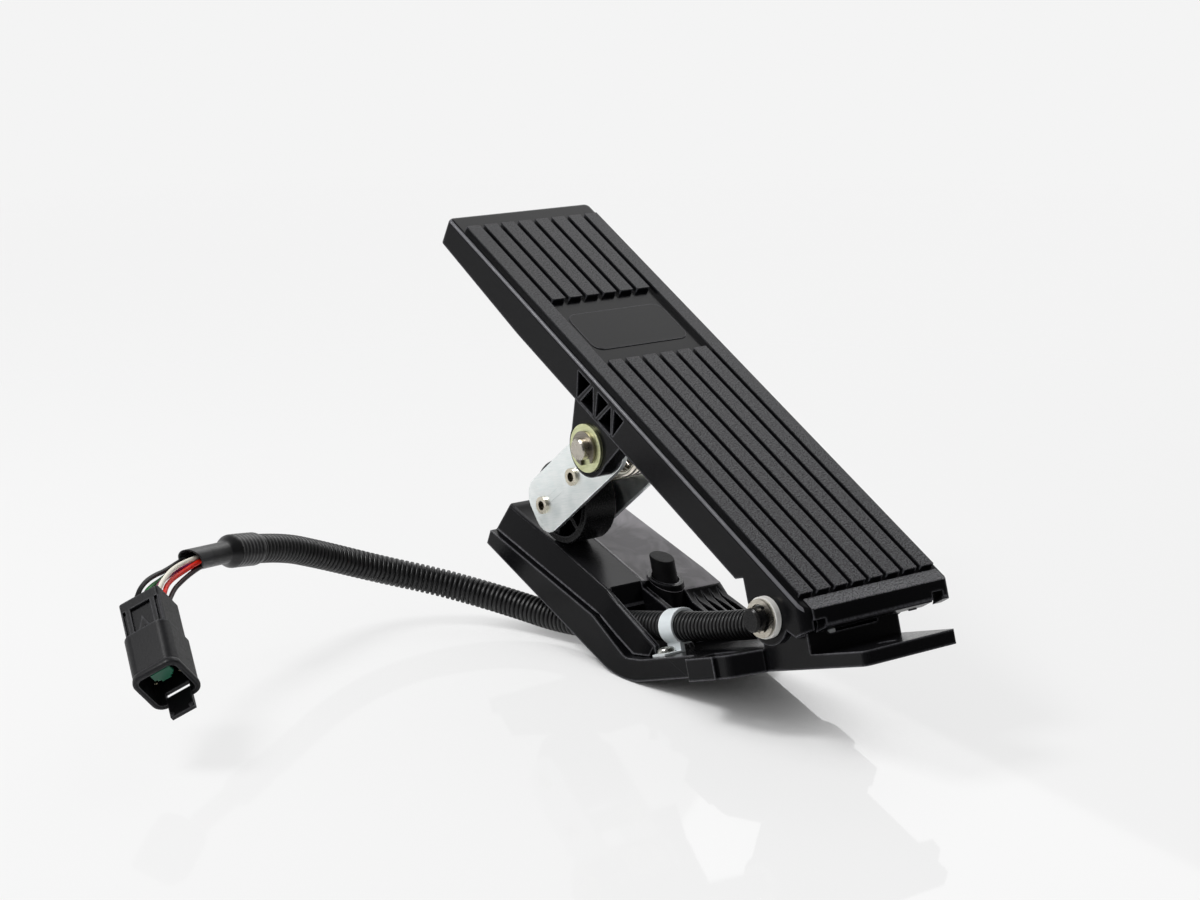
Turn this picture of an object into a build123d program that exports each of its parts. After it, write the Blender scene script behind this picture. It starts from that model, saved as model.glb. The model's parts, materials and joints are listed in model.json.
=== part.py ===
from build123d import *
from math import asin, cos, degrees, pi, radians, sin, tan
import os

# Floor-mounted accelerator pedal with a hinged treadle, a sprung roller arm and a sensor loom.
# Millimetres. +X is the driver's right, +Y runs towards the toe and +Z is up. The mounting face is z = 0 and
# the origin is midway between the two floor bolts.

# Treadle, in its own frame: u runs from heel to toe along the tread face and w stands out of that face.
IDLE_ANGLE = 45.0
HEEL_EDGE_Y = -66.0
HEEL_EDGE_Z = 24.5
TREADLE_LENGTH = 273.5
TREADLE_WIDTH = 80.0
SKIN = 3.0
SKIRT_WALL = 3.0
SKIRT_DEPTH = 15.5
TOE_DEPTH = 12.7
TOE_TAPER = 68.0
TOE_CORNER_RADIUS = 3.0
RIM_RADIUS = 2.0
RIB_COUNT = 8
RIB_PITCH = 9.5
RIB_WIDTH = 7.0
RIB_HEIGHT = 2.2
RIB_TOE_MARGIN = 11.0
RIB_HEEL_MARGIN = 7.0
LABEL_START = 159.5
LABEL_END = 204.3
LABEL_PAD_LENGTH = 25.7
LABEL_PAD_WIDTH = 52.5
LABEL_PAD_CORNER = 5.0
LABEL_PAD_HEIGHT = 0.3
HEEL_BAR_START = -0.7
HEEL_BAR_END = 5.3
HEEL_BAR_HEIGHT = 0.5
HEEL_BAR_FACE = 7.8
HEEL_BAR_FOOT = 4.2
HEEL_SKIRT = 8.5
HEEL_SKIRT_DEPTH = 12.0
LEFT_HEEL_CORNER = 4.5
RIGHT_HEEL_CORNER = 2.5
HEEL_NOTCH = 6.0
HEEL_NOTCH_DROP = 4.7
HEEL_HOOK = 5.0
STIFFENER = 2.0
STIFFENER_DEPTH = 9.0
STIFFENER_SPACING = 45.0

# Heel hinge
HEEL_PIVOT_U = 14.85
HEEL_PIVOT_W = -16.26
HEEL_PIN_RADIUS = 5.0
HEEL_PIN_CLEARANCE = 0.06
HEEL_PIN_STICKOUT = 9.0
HEEL_PIN_HEAD_RADIUS = 7.5
HEEL_PIN_HEAD = 2.4
BUSH_WALL = 1.8
BUSH_FLANGE_RADIUS = 8.6
BUSH_FLANGE = 2.5
EAR_RADIUS = 11.7
EAR_TOE_U = 34.0
EAR_THICKNESS = 4.5
RING_RADIUS = 7.9
RING_THICKNESS = 1.3
RING_GAP = 0.25
RING_BORE_GAP = 0.9
PIN_FIT = 0.03
TREADLE_STROKE = 15.0

# Pivot pin, lugs and roller arm
PIVOT_U = 142.0
PIVOT_W = -30.3
PIVOT_PIN_RADIUS = 4.8
PIVOT_CLEARANCE = 0.05
PIVOT_PIN_STICKOUT = 6.1
PIVOT_HEAD_RADIUS = 6.5
PIVOT_HEAD = 3.0
LUG_RADIUS = 13.0
LUG_THICKNESS = 7.9
LUG_ROOT = 36.0
SIDE_WASHER_RADIUS = 10.6
SIDE_WASHER = 1.5
CLIP_RADIUS = 7.6
CLIP = 1.2
CLIP_GROOVE_DEPTH = 0.9
THRUST_WASHER_RADIUS = 9.0
THRUST_WASHER = 1.5
FACE_GAP = 0.05
ARM_CENTRE_X = -12.0
ARM_INNER_WIDTH = 29.0
ARM_PLATE = 2.5
ARM_LENGTH = 57.6
ARM_HALF_WIDTH = 13.0
ARM_END_OVERHANG = 9.0
ARM_END_RADIUS = 9.5
SPACER_RADIUS = 5.0
SPACER_CLEARANCE = 3.6
RIVET_RADIUS = 3.0
RIVET_BORE_RADIUS = 2.1
RIVET_HEAD_RADIUS = 3.9
RIVET_HEAD = 1.3
SLEEVE_RADIUS = 6.3
ROLLER_RADIUS = 19.0
ROLLER_CENTRE_X = -10.9
ROLLER_WIDTH = 17.4
ROLLER_RIM = 3.2
ROLLER_HUB_RADIUS = 6.2
ROLLER_WEB = 3.0
ROLLER_SPOKES = 6
ROLLER_SPOKE = 2.0
ROLLER_CLEARANCE = 0.08
ROLLER_END_GAP = 0.4
SPRING_RADIUS = 14.0
SPRING_WIRE = 2.8
SPRING_FULL_TURNS = 7
SPRING_PITCH = 3.2
SPRING_ARM_LEG = 31.0
SPRING_ARM_LEAN = 14.0
SPRING_TREAD_LEG = 33.0
SPRING_TREAD_ANGLE = 110.0

# Base moulding: ramp, lane and walls
BASE_LEFT = -29.0
BASE_RIGHT = 35.0
RAMP_LEFT = -21.0
WALL = 2.6
RAMP_SKIN = 3.2
DECK_FRONT_Y = 85.5
DECK_FRONT_Z = 40.0
DECK_ANGLE = 35.6
DECK_LENGTH = 76.7
DECK_HEIGHT = 11.6
LANE_RIGHT = 0.0
LANE_STEP = 1.2
LANE_GAP = 0.35
LANE_DISH_RADIUS = 59.0
LANE_DISH_ALONG = 57.9
LANE_DISH_DEPTH = 2.3
LANE_LEFT = -20.0
LANE_GROOVE = 1.0
FLANGE_REAR_Y = 159.3
FLANGE_REAR_Z = 69.6
FLANGE_BEND_Y = 76.0
FLANGE_BEND_RADIUS = 42.0
FLANGE_KNEE_Y = 88.0
FLANGE_KNEE_Z = 31.0
FLANGE_FOOT_Y = 70.0
RAMP_FOOT_Y = 57.7
RAMP_FOOT_Z = 14.0
RAMP_REAR_RIGHT = 29.5
SHELF_LEFT = 14.4
SHELF_LENGTH = 12.0
SHELF_KNEE_DROP = 6.0
SHELF_KNEE_RUN = 4.0
SHELF_FOOT_Y = 42.0
POCKET_COUNT = 4
POCKET_PITCH = 4.5
POCKET_WIDTH = 3.4
POCKET_TAPER = 11.0

# Base moulding: heel plate, bolts, stop and hinge block
PLATE_THICKNESS = 9.5
LOBE_THICKNESS = 6.0
PLATE_HEEL_Y = -24.0
LOBE_HEEL_Y = -91.0
LOBE_LEFT = -34.5
LOBE_RIGHT = 15.0
BOLT_SPACING = 62.0
BOLT_RADIUS = 3.4
BOLT_SEAT_RADIUS = 7.5
BOLT_SEAT_DEPTH = 1.0
LEFT_BOSS_RADIUS = 10.5
LEFT_BOSS_TOE_Y = 12.0
LEFT_BOSS_HEEL_Y = -14.0
BOSS_PANEL_HEEL_Y = -6.0
BOSS_PANEL = 1.5
RIGHT_BOSS_RADIUS = 7.5
HEEL_BOLT_X = -10.0
HEEL_BOLT_Y = -78.0
STOP_X = 10.5
STOP_Y = 82.3
STOP_RADIUS = 5.4
STOP_TOP = 50.4
STOP_SEAT = 35.0
STOP_FIT = 0.1
COLLAR_RADIUS = 7.8
COLLAR_TOP = 41.0
COLLAR_GAP = 0.6
COLLAR_GAP_DEPTH = 2.5
STOP_GAP = 0.3
FOOT_HALF_WIDTH = 6.0
BLOCK_RIGHT = 18.8
BLOCK_FRONT_Y = -55.5
BLOCK_BACK_Y = -24.0
BLOCK_TOP = 33.0
SENSOR_LEFT = -25.0
SENSOR_RIGHT = 8.0
SENSOR_FRONT_Y = -36.0
SENSOR_BOTTOM = 9.0
SENSOR_TOP = 29.0
SENSOR_FIT = 0.15
SLOT_X = -6.3
SLOT_Z = 14.7
SLOT_WIDTH = 27.4
SLOT_HEIGHT = 4.0
SLOT_DEPTH = 7.0
GLAND_RADIUS = 8.0
GLAND_LENGTH = 8.0

# Loom, its clip and its connector
LOOM_RADIUS = 6.5
LOOM_FIT = 0.25
CLIP_Y = 52.0
CLIP_WIDTH = 9.0
CLIP_BAND = 1.2
CLIP_FOOT = 1.0
CLIP_SCREW_X = -19.5
SCREW_RADIUS = 2.0
SCREW_HEAD_RADIUS = 4.0
SCREW_HEAD = 2.6
SCREW_LENGTH = 7.0
SCREW_FIT = 0.05
SHRINK_RADIUS = 7.4
SHRINK_GRIP = 17.0
SHRINK_CONE = 6.0
NECK_RADIUS = 4.9
NECK_BORE_RADIUS = 4.1
NECK_BORE_DEPTH = 10.0
NECK_SLANT = 0.7
WIRE_RADIUS = 1.05
WIRE_EXIT = 18.0
WIRE_APPROACH = 10.5
WIRE_BUNDLE = 0.46
WIRE_TWIST = -55.0
CONNECTOR_LENGTH = 44.5
CONNECTOR_WIDTH = 20.7
CONNECTOR_DEPTH = 22.5
CONNECTOR_WALL = 1.8
CONNECTOR_CORNER = 4.6
CONNECTOR_SHROUD = 24.0
CONNECTOR_CAVITY = 19.0
REAR_WIDTH = 18.6
REAR_DEPTH = 17.4
REAR_CORNER = 1.6
REAR_RECESS = 1.6
KEY_DEPTH = 1.4
TERMINAL_PITCH_X = 5.6
TERMINAL_PITCH_Y = 6.4
TERMINAL_RADIUS = 0.6
TERMINAL_LENGTH = 12.0
WEDGE_WIDTH = 13.0
WEDGE_DEPTH = 3.8
WEDGE_LENGTH = 8.0
LATCH_WIDTH = 11.0
LATCH_THICKNESS = 2.0
LATCH_REACH = 7.5
LATCH_SLOT = 3.0
LATCH_SLOT_BACK = 6.0

# Loom route, from the gland under the heel to the end of the corrugated tube, then the shrink sleeve's end
LOOM_ROUTE = [
    (-10, -20, 18), (-10, 16, 18), (-10.4, 53, 20.5), (-11.2, 90, 23.6), (-15.5, 124, 27.6), (-27, 156, 42),
    (-46, 177, 55.4), (-72, 188, 67), (-100, 187.5, 78), (-129.5, 176.4, 86.2), (-159, 163.4, 87.4),
]
NECK_END = (-186, 149.5, 86.8)

# Connector, at the middle of its mouth: the way it faces and the way its width lies
MOUTH_POINT = (-237.1, 90.3, 40.0)
MOUTH_WAY = (-0.285, -0.648, -0.706)
MOUTH_ACROSS = (0.689, -0.652, 0.318)

# Worked out from the sizes above
IDLE = radians(IDLE_ANGLE)
DECK = radians(DECK_ANGLE)
DOWN = radians(IDLE_ANGLE - TREADLE_STROKE)
HALF_WIDTH = TREADLE_WIDTH / 2
SPACER_DISTANCE = ARM_LENGTH - ROLLER_RADIUS - SPACER_RADIUS - SPACER_CLEARANCE
NEAR_PLATE_X = ARM_CENTRE_X - ARM_INNER_WIDTH / 2 - ARM_PLATE
FAR_PLATE_X = ARM_CENTRE_X + ARM_INNER_WIDTH / 2
LUG_GAP = THRUST_WASHER + 2 * FACE_GAP
LEFT_LUG_X = NEAR_PLATE_X - LUG_GAP - LUG_THICKNESS
RIGHT_LUG_X = FAR_PLATE_X + ARM_PLATE + LUG_GAP
LEFT_EAR_X = -HALF_WIDTH
RIGHT_EAR_X = BLOCK_RIGHT + BUSH_FLANGE
PLACE_TREADLE = Pos(0, HEEL_EDGE_Y, HEEL_EDGE_Z) * Rot(IDLE_ANGLE, 0, 0)


def treadle_point(u, w):
    """A point of the treadle's side view as (y, z) of the pedal at idle."""
    return (HEEL_EDGE_Y + u * cos(IDLE) - w * sin(IDLE), HEEL_EDGE_Z + u * sin(IDLE) + w * cos(IDLE))


def deck_point(along, height):
    """A point above the roller lane as (y, z): along runs up the ramp from its front edge."""
    return (DECK_FRONT_Y + along * cos(DECK) - height * sin(DECK),
            DECK_FRONT_Z + along * sin(DECK) + height * cos(DECK))


HEEL_Y, HEEL_Z = treadle_point(HEEL_PIVOT_U, HEEL_PIVOT_W)
PIVOT_Y, PIVOT_Z = treadle_point(PIVOT_U, PIVOT_W)
PIVOT_HEIGHT = (PIVOT_Z - DECK_FRONT_Z) * cos(DECK) - (PIVOT_Y - DECK_FRONT_Y) * sin(DECK)
ARM_TILT = DECK - asin((PIVOT_HEIGHT - ROLLER_RADIUS - LANE_GAP - LANE_STEP) / ARM_LENGTH)
ROLLER_Y = PIVOT_Y + ARM_LENGTH * cos(ARM_TILT)
ROLLER_Z = PIVOT_Z + ARM_LENGTH * sin(ARM_TILT)
PLACE_ARM = Pos(0, PIVOT_Y, PIVOT_Z) * Rot(degrees(ARM_TILT), 0, 0)


def rounded(points):
    """A closed outline from (a, b) corners, each rounded where a third value gives its radius."""
    outline = make_face(Polyline(*[point[:2] for point in points], close=True))
    for point in points:
        if len(point) == 3:
            corner = outline.vertices().sort_by_distance((point[0], point[1]))[0]
            outline = fillet(corner, point[2])
    return outline


def across(outline, start, end):
    """A side-view outline pushed across the pedal from x = start to x = end."""
    return extrude(Plane.YZ.offset(start) * outline, amount=end - start)


def upright(outline, bottom, top):
    """A plan outline pushed up from z = bottom to z = top."""
    return extrude(Plane.XY.offset(bottom) * outline, amount=top - bottom)


def lengthwise(outline, start, end):
    """A front-view outline pushed along the pedal from y = start to y = end."""
    return extrude(Plane.XZ.offset(-start) * outline, amount=start - end)


def rod(y, z, radius, start, end):
    """A round bar across the pedal."""
    return across(Pos(y, z) * Circle(radius), start, end)


def tube(y, z, radius, bore, start, end):
    """A round bar with a bore."""
    return rod(y, z, radius, start, end) - rod(y, z, bore, start, end)


def treadle_ribs():
    """The tread's lengthwise ribs, broken by the label place, and the bar along the heel."""
    first = -RIB_PITCH * (RIB_COUNT - 1) / 2
    toe_end = TREADLE_LENGTH - RIB_TOE_MARGIN
    ribs = []
    for index in range(RIB_COUNT):
        is_outer = index in (0, RIB_COUNT - 1)
        spans = [(RIB_HEEL_MARGIN, toe_end)]
        if not is_outer:
            spans = [(RIB_HEEL_MARGIN, LABEL_START), (LABEL_END, toe_end)]
        for start, end in spans:
            middle = Pos(first + index * RIB_PITCH, (start + end) / 2)
            ribs.append(upright(middle * Rectangle(RIB_WIDTH, end - start), -SKIN / 2, RIB_HEIGHT))
    label_middle = Pos(0, (LABEL_START + LABEL_END) / 2)
    pad = label_middle * RectangleRounded(LABEL_PAD_WIDTH, LABEL_PAD_LENGTH, LABEL_PAD_CORNER)
    ribs.append(upright(pad, -SKIN / 2, LABEL_PAD_HEIGHT))
    foot_u = HEEL_BAR_START - HEEL_BAR_FACE * sin(IDLE)
    foot_w = HEEL_BAR_HEIGHT - HEEL_BAR_FACE * cos(IDLE)
    bar = rounded([(HEEL_BAR_START, HEEL_BAR_HEIGHT), (HEEL_BAR_END, HEEL_BAR_HEIGHT), (HEEL_BAR_END, -SKIN),
                   (foot_u + HEEL_BAR_FOOT, foot_w), (foot_u, foot_w)])
    ribs.append(across(bar, -HALF_WIDTH + EAR_THICKNESS, HALF_WIDTH - RIGHT_HEEL_CORNER))
    return ribs


def treadle_shell():
    """The tread plate with its skirt, open underneath, and its cross stiffeners."""
    toe = TREADLE_LENGTH
    heel = HEEL_SKIRT * sin(IDLE)
    drop = SKIRT_DEPTH - HEEL_SKIRT_DEPTH
    side = rounded([(0, 0), (toe, 0), (toe, -TOE_DEPTH), (toe - TOE_TAPER, -SKIRT_DEPTH),
                    (EAR_TOE_U + drop, -SKIRT_DEPTH), (EAR_TOE_U, -HEEL_SKIRT_DEPTH),
                    (heel - HEEL_SKIRT, -HEEL_SKIRT_DEPTH), (-heel, -heel)])
    shell = across(side, -HALF_WIDTH, HALF_WIDTH)
    toe_corners = shell.edges().filter_by(Axis.Z).sort_by(Axis.Y)[-2:]
    shell = fillet(toe_corners, TOE_CORNER_RADIUS)
    for place, radius in ((0, LEFT_HEEL_CORNER), (-1, RIGHT_HEEL_CORNER)):
        heel_corners = shell.edges().filter_by(Axis((0, 0, 0), (0, sin(IDLE), cos(IDLE)))).sort_by(Axis.X)
        shell = fillet(heel_corners[place], radius)
    top = shell.faces().sort_by(Axis.Z)[-1]
    shell = fillet(top.edges(), RIM_RADIUS)
    inner_half = HALF_WIDTH - SKIRT_WALL
    hollow = rounded([(RIB_HEEL_MARGIN, -SKIN), (toe - SKIRT_WALL, -SKIN),
                      (toe - SKIRT_WALL, -2 * SKIRT_DEPTH), (RIB_HEEL_MARGIN - SKIRT_DEPTH, -2 * SKIRT_DEPTH),
                      (RIB_HEEL_MARGIN - HEEL_SKIRT, -HEEL_SKIRT)])
    shell -= across(hollow, -inner_half, inner_half)
    u = PIVOT_U + LUG_ROOT
    while u < toe - STIFFENER_SPACING / 2:
        web = Pos(0, u) * Rectangle(2 * inner_half, STIFFENER)
        shell += upright(web, -STIFFENER_DEPTH, -SKIN / 2)
        u += STIFFENER_SPACING
    for x in (RIGHT_LUG_X + LUG_THICKNESS / 2, ARM_CENTRE_X, LEFT_LUG_X + 6):
        web = Pos(x, (PIVOT_U + toe) / 2) * Rectangle(STIFFENER, toe - PIVOT_U - 2 * SKIRT_WALL)
        shell += upright(web, -STIFFENER_DEPTH, -SKIN / 2)
    return shell


def lug_outline():
    """Side view of a pivot lug, rounded about the pin."""
    half = LUG_ROOT / 2
    outline = make_face(Polyline((PIVOT_U - half, -SKIN), (PIVOT_U + half, -SKIN),
                                 (PIVOT_U + half, -SKIRT_DEPTH), (PIVOT_U + LUG_RADIUS, PIVOT_W),
                                 (PIVOT_U - LUG_RADIUS, PIVOT_W),
                                 (PIVOT_U - half, -SKIRT_DEPTH), close=True))
    return outline + Pos(PIVOT_U, PIVOT_W) * Circle(LUG_RADIUS)


def stop_contact():
    """Where the foot meets the rubber stop, turned back to idle, in the treadle's own (u, w)."""
    swing = radians(TREADLE_STROKE)
    y = STOP_Y - HEEL_Y
    z = STOP_TOP + STOP_GAP - HEEL_Z
    turned_y = HEEL_Y + y * cos(swing) - z * sin(swing) - HEEL_EDGE_Y
    turned_z = HEEL_Z + y * sin(swing) + z * cos(swing) - HEEL_EDGE_Z
    return (turned_y * cos(IDLE) + turned_z * sin(IDLE), turned_z * cos(IDLE) - turned_y * sin(IDLE))


def foot_outline():
    """The foot that comes down on the stop; its sole is parallel to the tread, as the stop's end then is."""
    u, w = stop_contact()
    height = PIVOT_W - w
    return Pos(u, w + height / 2) * Rectangle(2 * FOOT_HALF_WIDTH, height)


def truss_pockets():
    """The row of triangular pockets in the skirt above the left lug."""
    high = -3.2
    low = -14.2
    triangles = [
        [(20.0, high), (10.2, high), (15.0, low)],
        [(8.2, high), (12.4, low), (2.4, low)],
        [(4.6, high), (-3.8, high), (0.6, low)],
        [(-5.8, high), (-1.4, low), (-11.2, low)],
        [(-8.2, high), (-15.6, high), (-12.6, low)],
    ]
    pockets = []
    for triangle in triangles:
        corners = [(PIVOT_U + u, w) for u, w in triangle]
        pockets.append(across(make_face(Polyline(*corners, close=True)), -HALF_WIDTH - 1, LEFT_LUG_X + 4.5))
    return pockets


def treadle():
    """Tread plate, ribs, heel ears and pivot lugs as one moulding."""
    body = treadle_shell()
    for rib in treadle_ribs():
        body += rib
    half = LUG_ROOT / 2
    pad = rounded([(PIVOT_U - half, -SKIN / 2), (PIVOT_U + half + 3, -SKIN / 2),
                   (PIVOT_U + half, -SKIRT_DEPTH), (PIVOT_U - half, -SKIRT_DEPTH)])
    body += across(pad, -HALF_WIDTH + 0.5, LEFT_LUG_X + LUG_THICKNESS)
    body += across(lug_outline(), LEFT_LUG_X, LEFT_LUG_X + LUG_THICKNESS)
    body += across(lug_outline() + foot_outline(), RIGHT_LUG_X, RIGHT_LUG_X + LUG_THICKNESS)
    for pocket in truss_pockets():
        body -= pocket
    ear = make_face(Polyline((EAR_TOE_U, -HEEL_SKIRT_DEPTH), (HEEL_PIVOT_U + EAR_RADIUS, HEEL_PIVOT_W - SKIN),
                             (HEEL_PIVOT_U, HEEL_PIVOT_W), (-SKIN, -HEEL_SKIRT_DEPTH), (SKIN, -SKIN),
                             (EAR_TOE_U, -SKIN), close=True))
    ear += Pos(HEEL_PIVOT_U, HEEL_PIVOT_W) * Circle(EAR_RADIUS)
    for start in (LEFT_EAR_X, RIGHT_EAR_X):
        body += across(ear, start, start + EAR_THICKNESS)
    bush_bore = HEEL_PIN_RADIUS + BUSH_WALL
    body -= rod(HEEL_PIVOT_U, HEEL_PIVOT_W, bush_bore, LEFT_EAR_X - 1, RIGHT_EAR_X + EAR_THICKNESS + 1)
    pin_bore = PIVOT_PIN_RADIUS + PIVOT_CLEARANCE
    body -= rod(PIVOT_U, PIVOT_W, pin_bore, LEFT_LUG_X - 1, RIGHT_LUG_X + LUG_THICKNESS + 1)
    body = PLACE_TREADLE * body
    reach = HEEL_SKIRT + HEEL_BAR_END
    for x in (-HALF_WIDTH + EAR_THICKNESS + HEEL_NOTCH / 2, HALF_WIDTH - HEEL_HOOK - HEEL_NOTCH / 2):
        notch = Pos(x, HEEL_EDGE_Y) * Rectangle(HEEL_NOTCH, reach)
        body -= upright(notch, HEEL_EDGE_Z - 2 * HEEL_SKIRT, HEEL_EDGE_Z - HEEL_NOTCH_DROP)
    return body


def heel_bush(outer_face, inward):
    """Flanged nylon bush pressed into a treadle ear; inward is +1 when the ear lies at higher x."""
    bore = HEEL_PIN_RADIUS + HEEL_PIN_CLEARANCE
    ends = sorted([outer_face, outer_face + inward * EAR_THICKNESS])
    flange = sorted([outer_face, outer_face - inward * BUSH_FLANGE])
    bush = tube(HEEL_Y, HEEL_Z, HEEL_PIN_RADIUS + BUSH_WALL, bore, *ends)
    return bush + tube(HEEL_Y, HEEL_Z, BUSH_FLANGE_RADIUS, bore, *flange)


def heel_pin():
    """Black hinge pin through the block of the base, with a head at its right end."""
    start = LEFT_EAR_X - HEEL_PIN_STICKOUT
    end = RIGHT_EAR_X + EAR_THICKNESS + FACE_GAP
    pin = rod(HEEL_Y, HEEL_Z, HEEL_PIN_RADIUS, start, end)
    pin = chamfer(pin.edges().sort_by(Axis.X)[:1], 0.7)
    return pin + rod(HEEL_Y, HEEL_Z, HEEL_PIN_HEAD_RADIUS, end, end + HEEL_PIN_HEAD)


def retaining_ring():
    """Push-on ring outside the left bush, with three gripping teeth."""
    start = LEFT_EAR_X - BUSH_FLANGE - RING_GAP - RING_THICKNESS
    end = start + RING_THICKNESS
    ring = tube(HEEL_Y, HEEL_Z, RING_RADIUS, HEEL_PIN_RADIUS + RING_BORE_GAP, start, end)
    for index in range(3):
        turn = 120 * index + 30
        tooth = Rot(0, 0, turn) * Pos(HEEL_PIN_RADIUS + RING_BORE_GAP, 0) * Rectangle(2 * RING_BORE_GAP, 2.4)
        tooth = Pos(HEEL_Y, HEEL_Z) * tooth
        ring += across(tooth, start, end)
    return ring - rod(HEEL_Y, HEEL_Z, HEEL_PIN_RADIUS + PIN_FIT, start, end)


def pivot_pin():
    """Steel pin through both lugs, grooved for its clip at the left and headed at the right."""
    start = LEFT_LUG_X - PIVOT_PIN_STICKOUT
    end = RIGHT_LUG_X + LUG_THICKNESS + FACE_GAP
    pin = rod(PIVOT_Y, PIVOT_Z, PIVOT_PIN_RADIUS, start, end)
    pin = chamfer(pin.edges().sort_by(Axis.X)[:1], 0.6)
    groove_end = LEFT_LUG_X - SIDE_WASHER - FACE_GAP
    pin -= tube(PIVOT_Y, PIVOT_Z, PIVOT_PIN_RADIUS + 1, PIVOT_PIN_RADIUS - CLIP_GROOVE_DEPTH,
                groove_end - CLIP - 2 * FACE_GAP, groove_end)
    return pin + rod(PIVOT_Y, PIVOT_Z, PIVOT_HEAD_RADIUS, end, end + PIVOT_HEAD)


def side_washer():
    """Zinc washer between the left lug and the clip."""
    bore = PIVOT_PIN_RADIUS + PIVOT_CLEARANCE
    return tube(PIVOT_Y, PIVOT_Z, SIDE_WASHER_RADIUS, bore, LEFT_LUG_X - SIDE_WASHER, LEFT_LUG_X)


def pivot_clip():
    """E-shaped clip in the groove of the pivot pin, open at its lower side."""
    end = LEFT_LUG_X - SIDE_WASHER - 2 * FACE_GAP
    start = end - CLIP
    bore = PIVOT_PIN_RADIUS - CLIP_GROOVE_DEPTH + PIN_FIT
    clip = tube(PIVOT_Y, PIVOT_Z, CLIP_RADIUS, bore, start, end)
    mouth = Pos(PIVOT_Y, PIVOT_Z - CLIP_RADIUS / 2) * Rectangle(1.6 * bore, CLIP_RADIUS)
    return clip - across(mouth, start, end)


def thrust_washer(start):
    """Nylon washer between an arm plate and a lug."""
    bore = PIVOT_PIN_RADIUS + PIVOT_CLEARANCE
    return tube(PIVOT_Y, PIVOT_Z, THRUST_WASHER_RADIUS, bore, start, start + THRUST_WASHER)


def arm_plate(start):
    """One plated side of the roller arm: a strip round the pin, with rounded corners at the roller."""
    tip = ARM_LENGTH + ARM_END_OVERHANG
    outline = rounded([(0, ARM_HALF_WIDTH), (tip, ARM_HALF_WIDTH, ARM_END_RADIUS),
                       (tip, -ARM_HALF_WIDTH, ARM_END_RADIUS), (0, -ARM_HALF_WIDTH)])
    outline += Circle(ARM_HALF_WIDTH)
    plate = across(outline, start, start + ARM_PLATE)
    plate -= rod(0, 0, PIVOT_PIN_RADIUS + PIVOT_CLEARANCE, start, start + ARM_PLATE)
    for distance in (SPACER_DISTANCE, ARM_LENGTH):
        plate -= rod(distance, 0, RIVET_RADIUS, start, start + ARM_PLATE)
    return PLACE_ARM * plate


def hollow_rivet(distance, body_radius):
    """Tubular rivet across the arm; its body is thicker than its ends where it spaces the plates."""
    start = NEAR_PLATE_X
    end = FAR_PLATE_X + ARM_PLATE
    rivet = rod(distance, 0, RIVET_RADIUS, start - RIVET_HEAD, end + RIVET_HEAD)
    rivet += rod(distance, 0, body_radius, start + ARM_PLATE, FAR_PLATE_X)
    for head in (start - RIVET_HEAD, end):
        rivet += rod(distance, 0, RIVET_HEAD_RADIUS, head, head + RIVET_HEAD)
    rivet -= rod(distance, 0, RIVET_BORE_RADIUS, start - RIVET_HEAD, end + RIVET_HEAD)
    return PLACE_ARM * rivet


def pivot_sleeve():
    """Tube on the pivot pin that keeps the arm plates apart inside the spring."""
    return tube(PIVOT_Y, PIVOT_Z, SLEEVE_RADIUS, PIVOT_PIN_RADIUS + PIVOT_CLEARANCE,
                NEAR_PLATE_X + ARM_PLATE, FAR_PLATE_X)


def roller():
    """Nylon roller: rim, hub, middle web and spokes on both ends."""
    start = ROLLER_CENTRE_X - ROLLER_WIDTH / 2
    end = ROLLER_CENTRE_X + ROLLER_WIDTH / 2
    inner = ROLLER_RADIUS - ROLLER_RIM
    body = tube(0, 0, ROLLER_RADIUS, inner, start, end)
    body = fillet(body.edges().filter_by(GeomType.CIRCLE).group_by(SortBy.RADIUS)[-1], 0.8)
    hub_start = NEAR_PLATE_X + ARM_PLATE + ROLLER_END_GAP
    hub_end = FAR_PLATE_X - ROLLER_END_GAP
    body += rod(0, 0, ROLLER_HUB_RADIUS, hub_start, hub_end)
    reach = inner + ROLLER_RIM / 2
    body += rod(0, 0, reach, ROLLER_CENTRE_X - ROLLER_WEB / 2, ROLLER_CENTRE_X + ROLLER_WEB / 2)
    for index in range(ROLLER_SPOKES):
        spoke = Rot(0, 0, 360 * index / ROLLER_SPOKES) * Pos(reach / 2, 0) * Rectangle(reach, ROLLER_SPOKE)
        body += across(spoke, start + 1, end - 1)
    body -= rod(0, 0, RIVET_RADIUS + ROLLER_CLEARANCE, hub_start, hub_end)
    return Pos(0, ROLLER_Y, ROLLER_Z) * body


def torsion_spring():
    """Coil round the sleeve, with one leg on the cross spacer and one under the tread."""
    first = degrees(ARM_TILT) - SPRING_ARM_LEAN + 90
    last = SPRING_TREAD_ANGLE - 90
    length = (SPRING_FULL_TURNS + (last - first) / 360) * SPRING_PITCH
    path = Helix(pitch=SPRING_PITCH, height=length, radius=SPRING_RADIUS)
    section = Plane(origin=path @ 0, z_dir=path % 0) * Circle(SPRING_WIRE / 2)
    coil = sweep(section, path=path)
    for fraction, way, leg in ((0, -1, SPRING_ARM_LEG), (1, 1, SPRING_TREAD_LEG)):
        end = Plane(origin=path @ fraction, z_dir=(path % fraction) * way)
        coil += extrude(end * Circle(SPRING_WIRE / 2), amount=leg)
    place = Pos(ARM_CENTRE_X - length / 2, PIVOT_Y, PIVOT_Z) * Rot(0, 90, 0)
    return place * Rot(0, 0, first + 90) * coil


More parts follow.
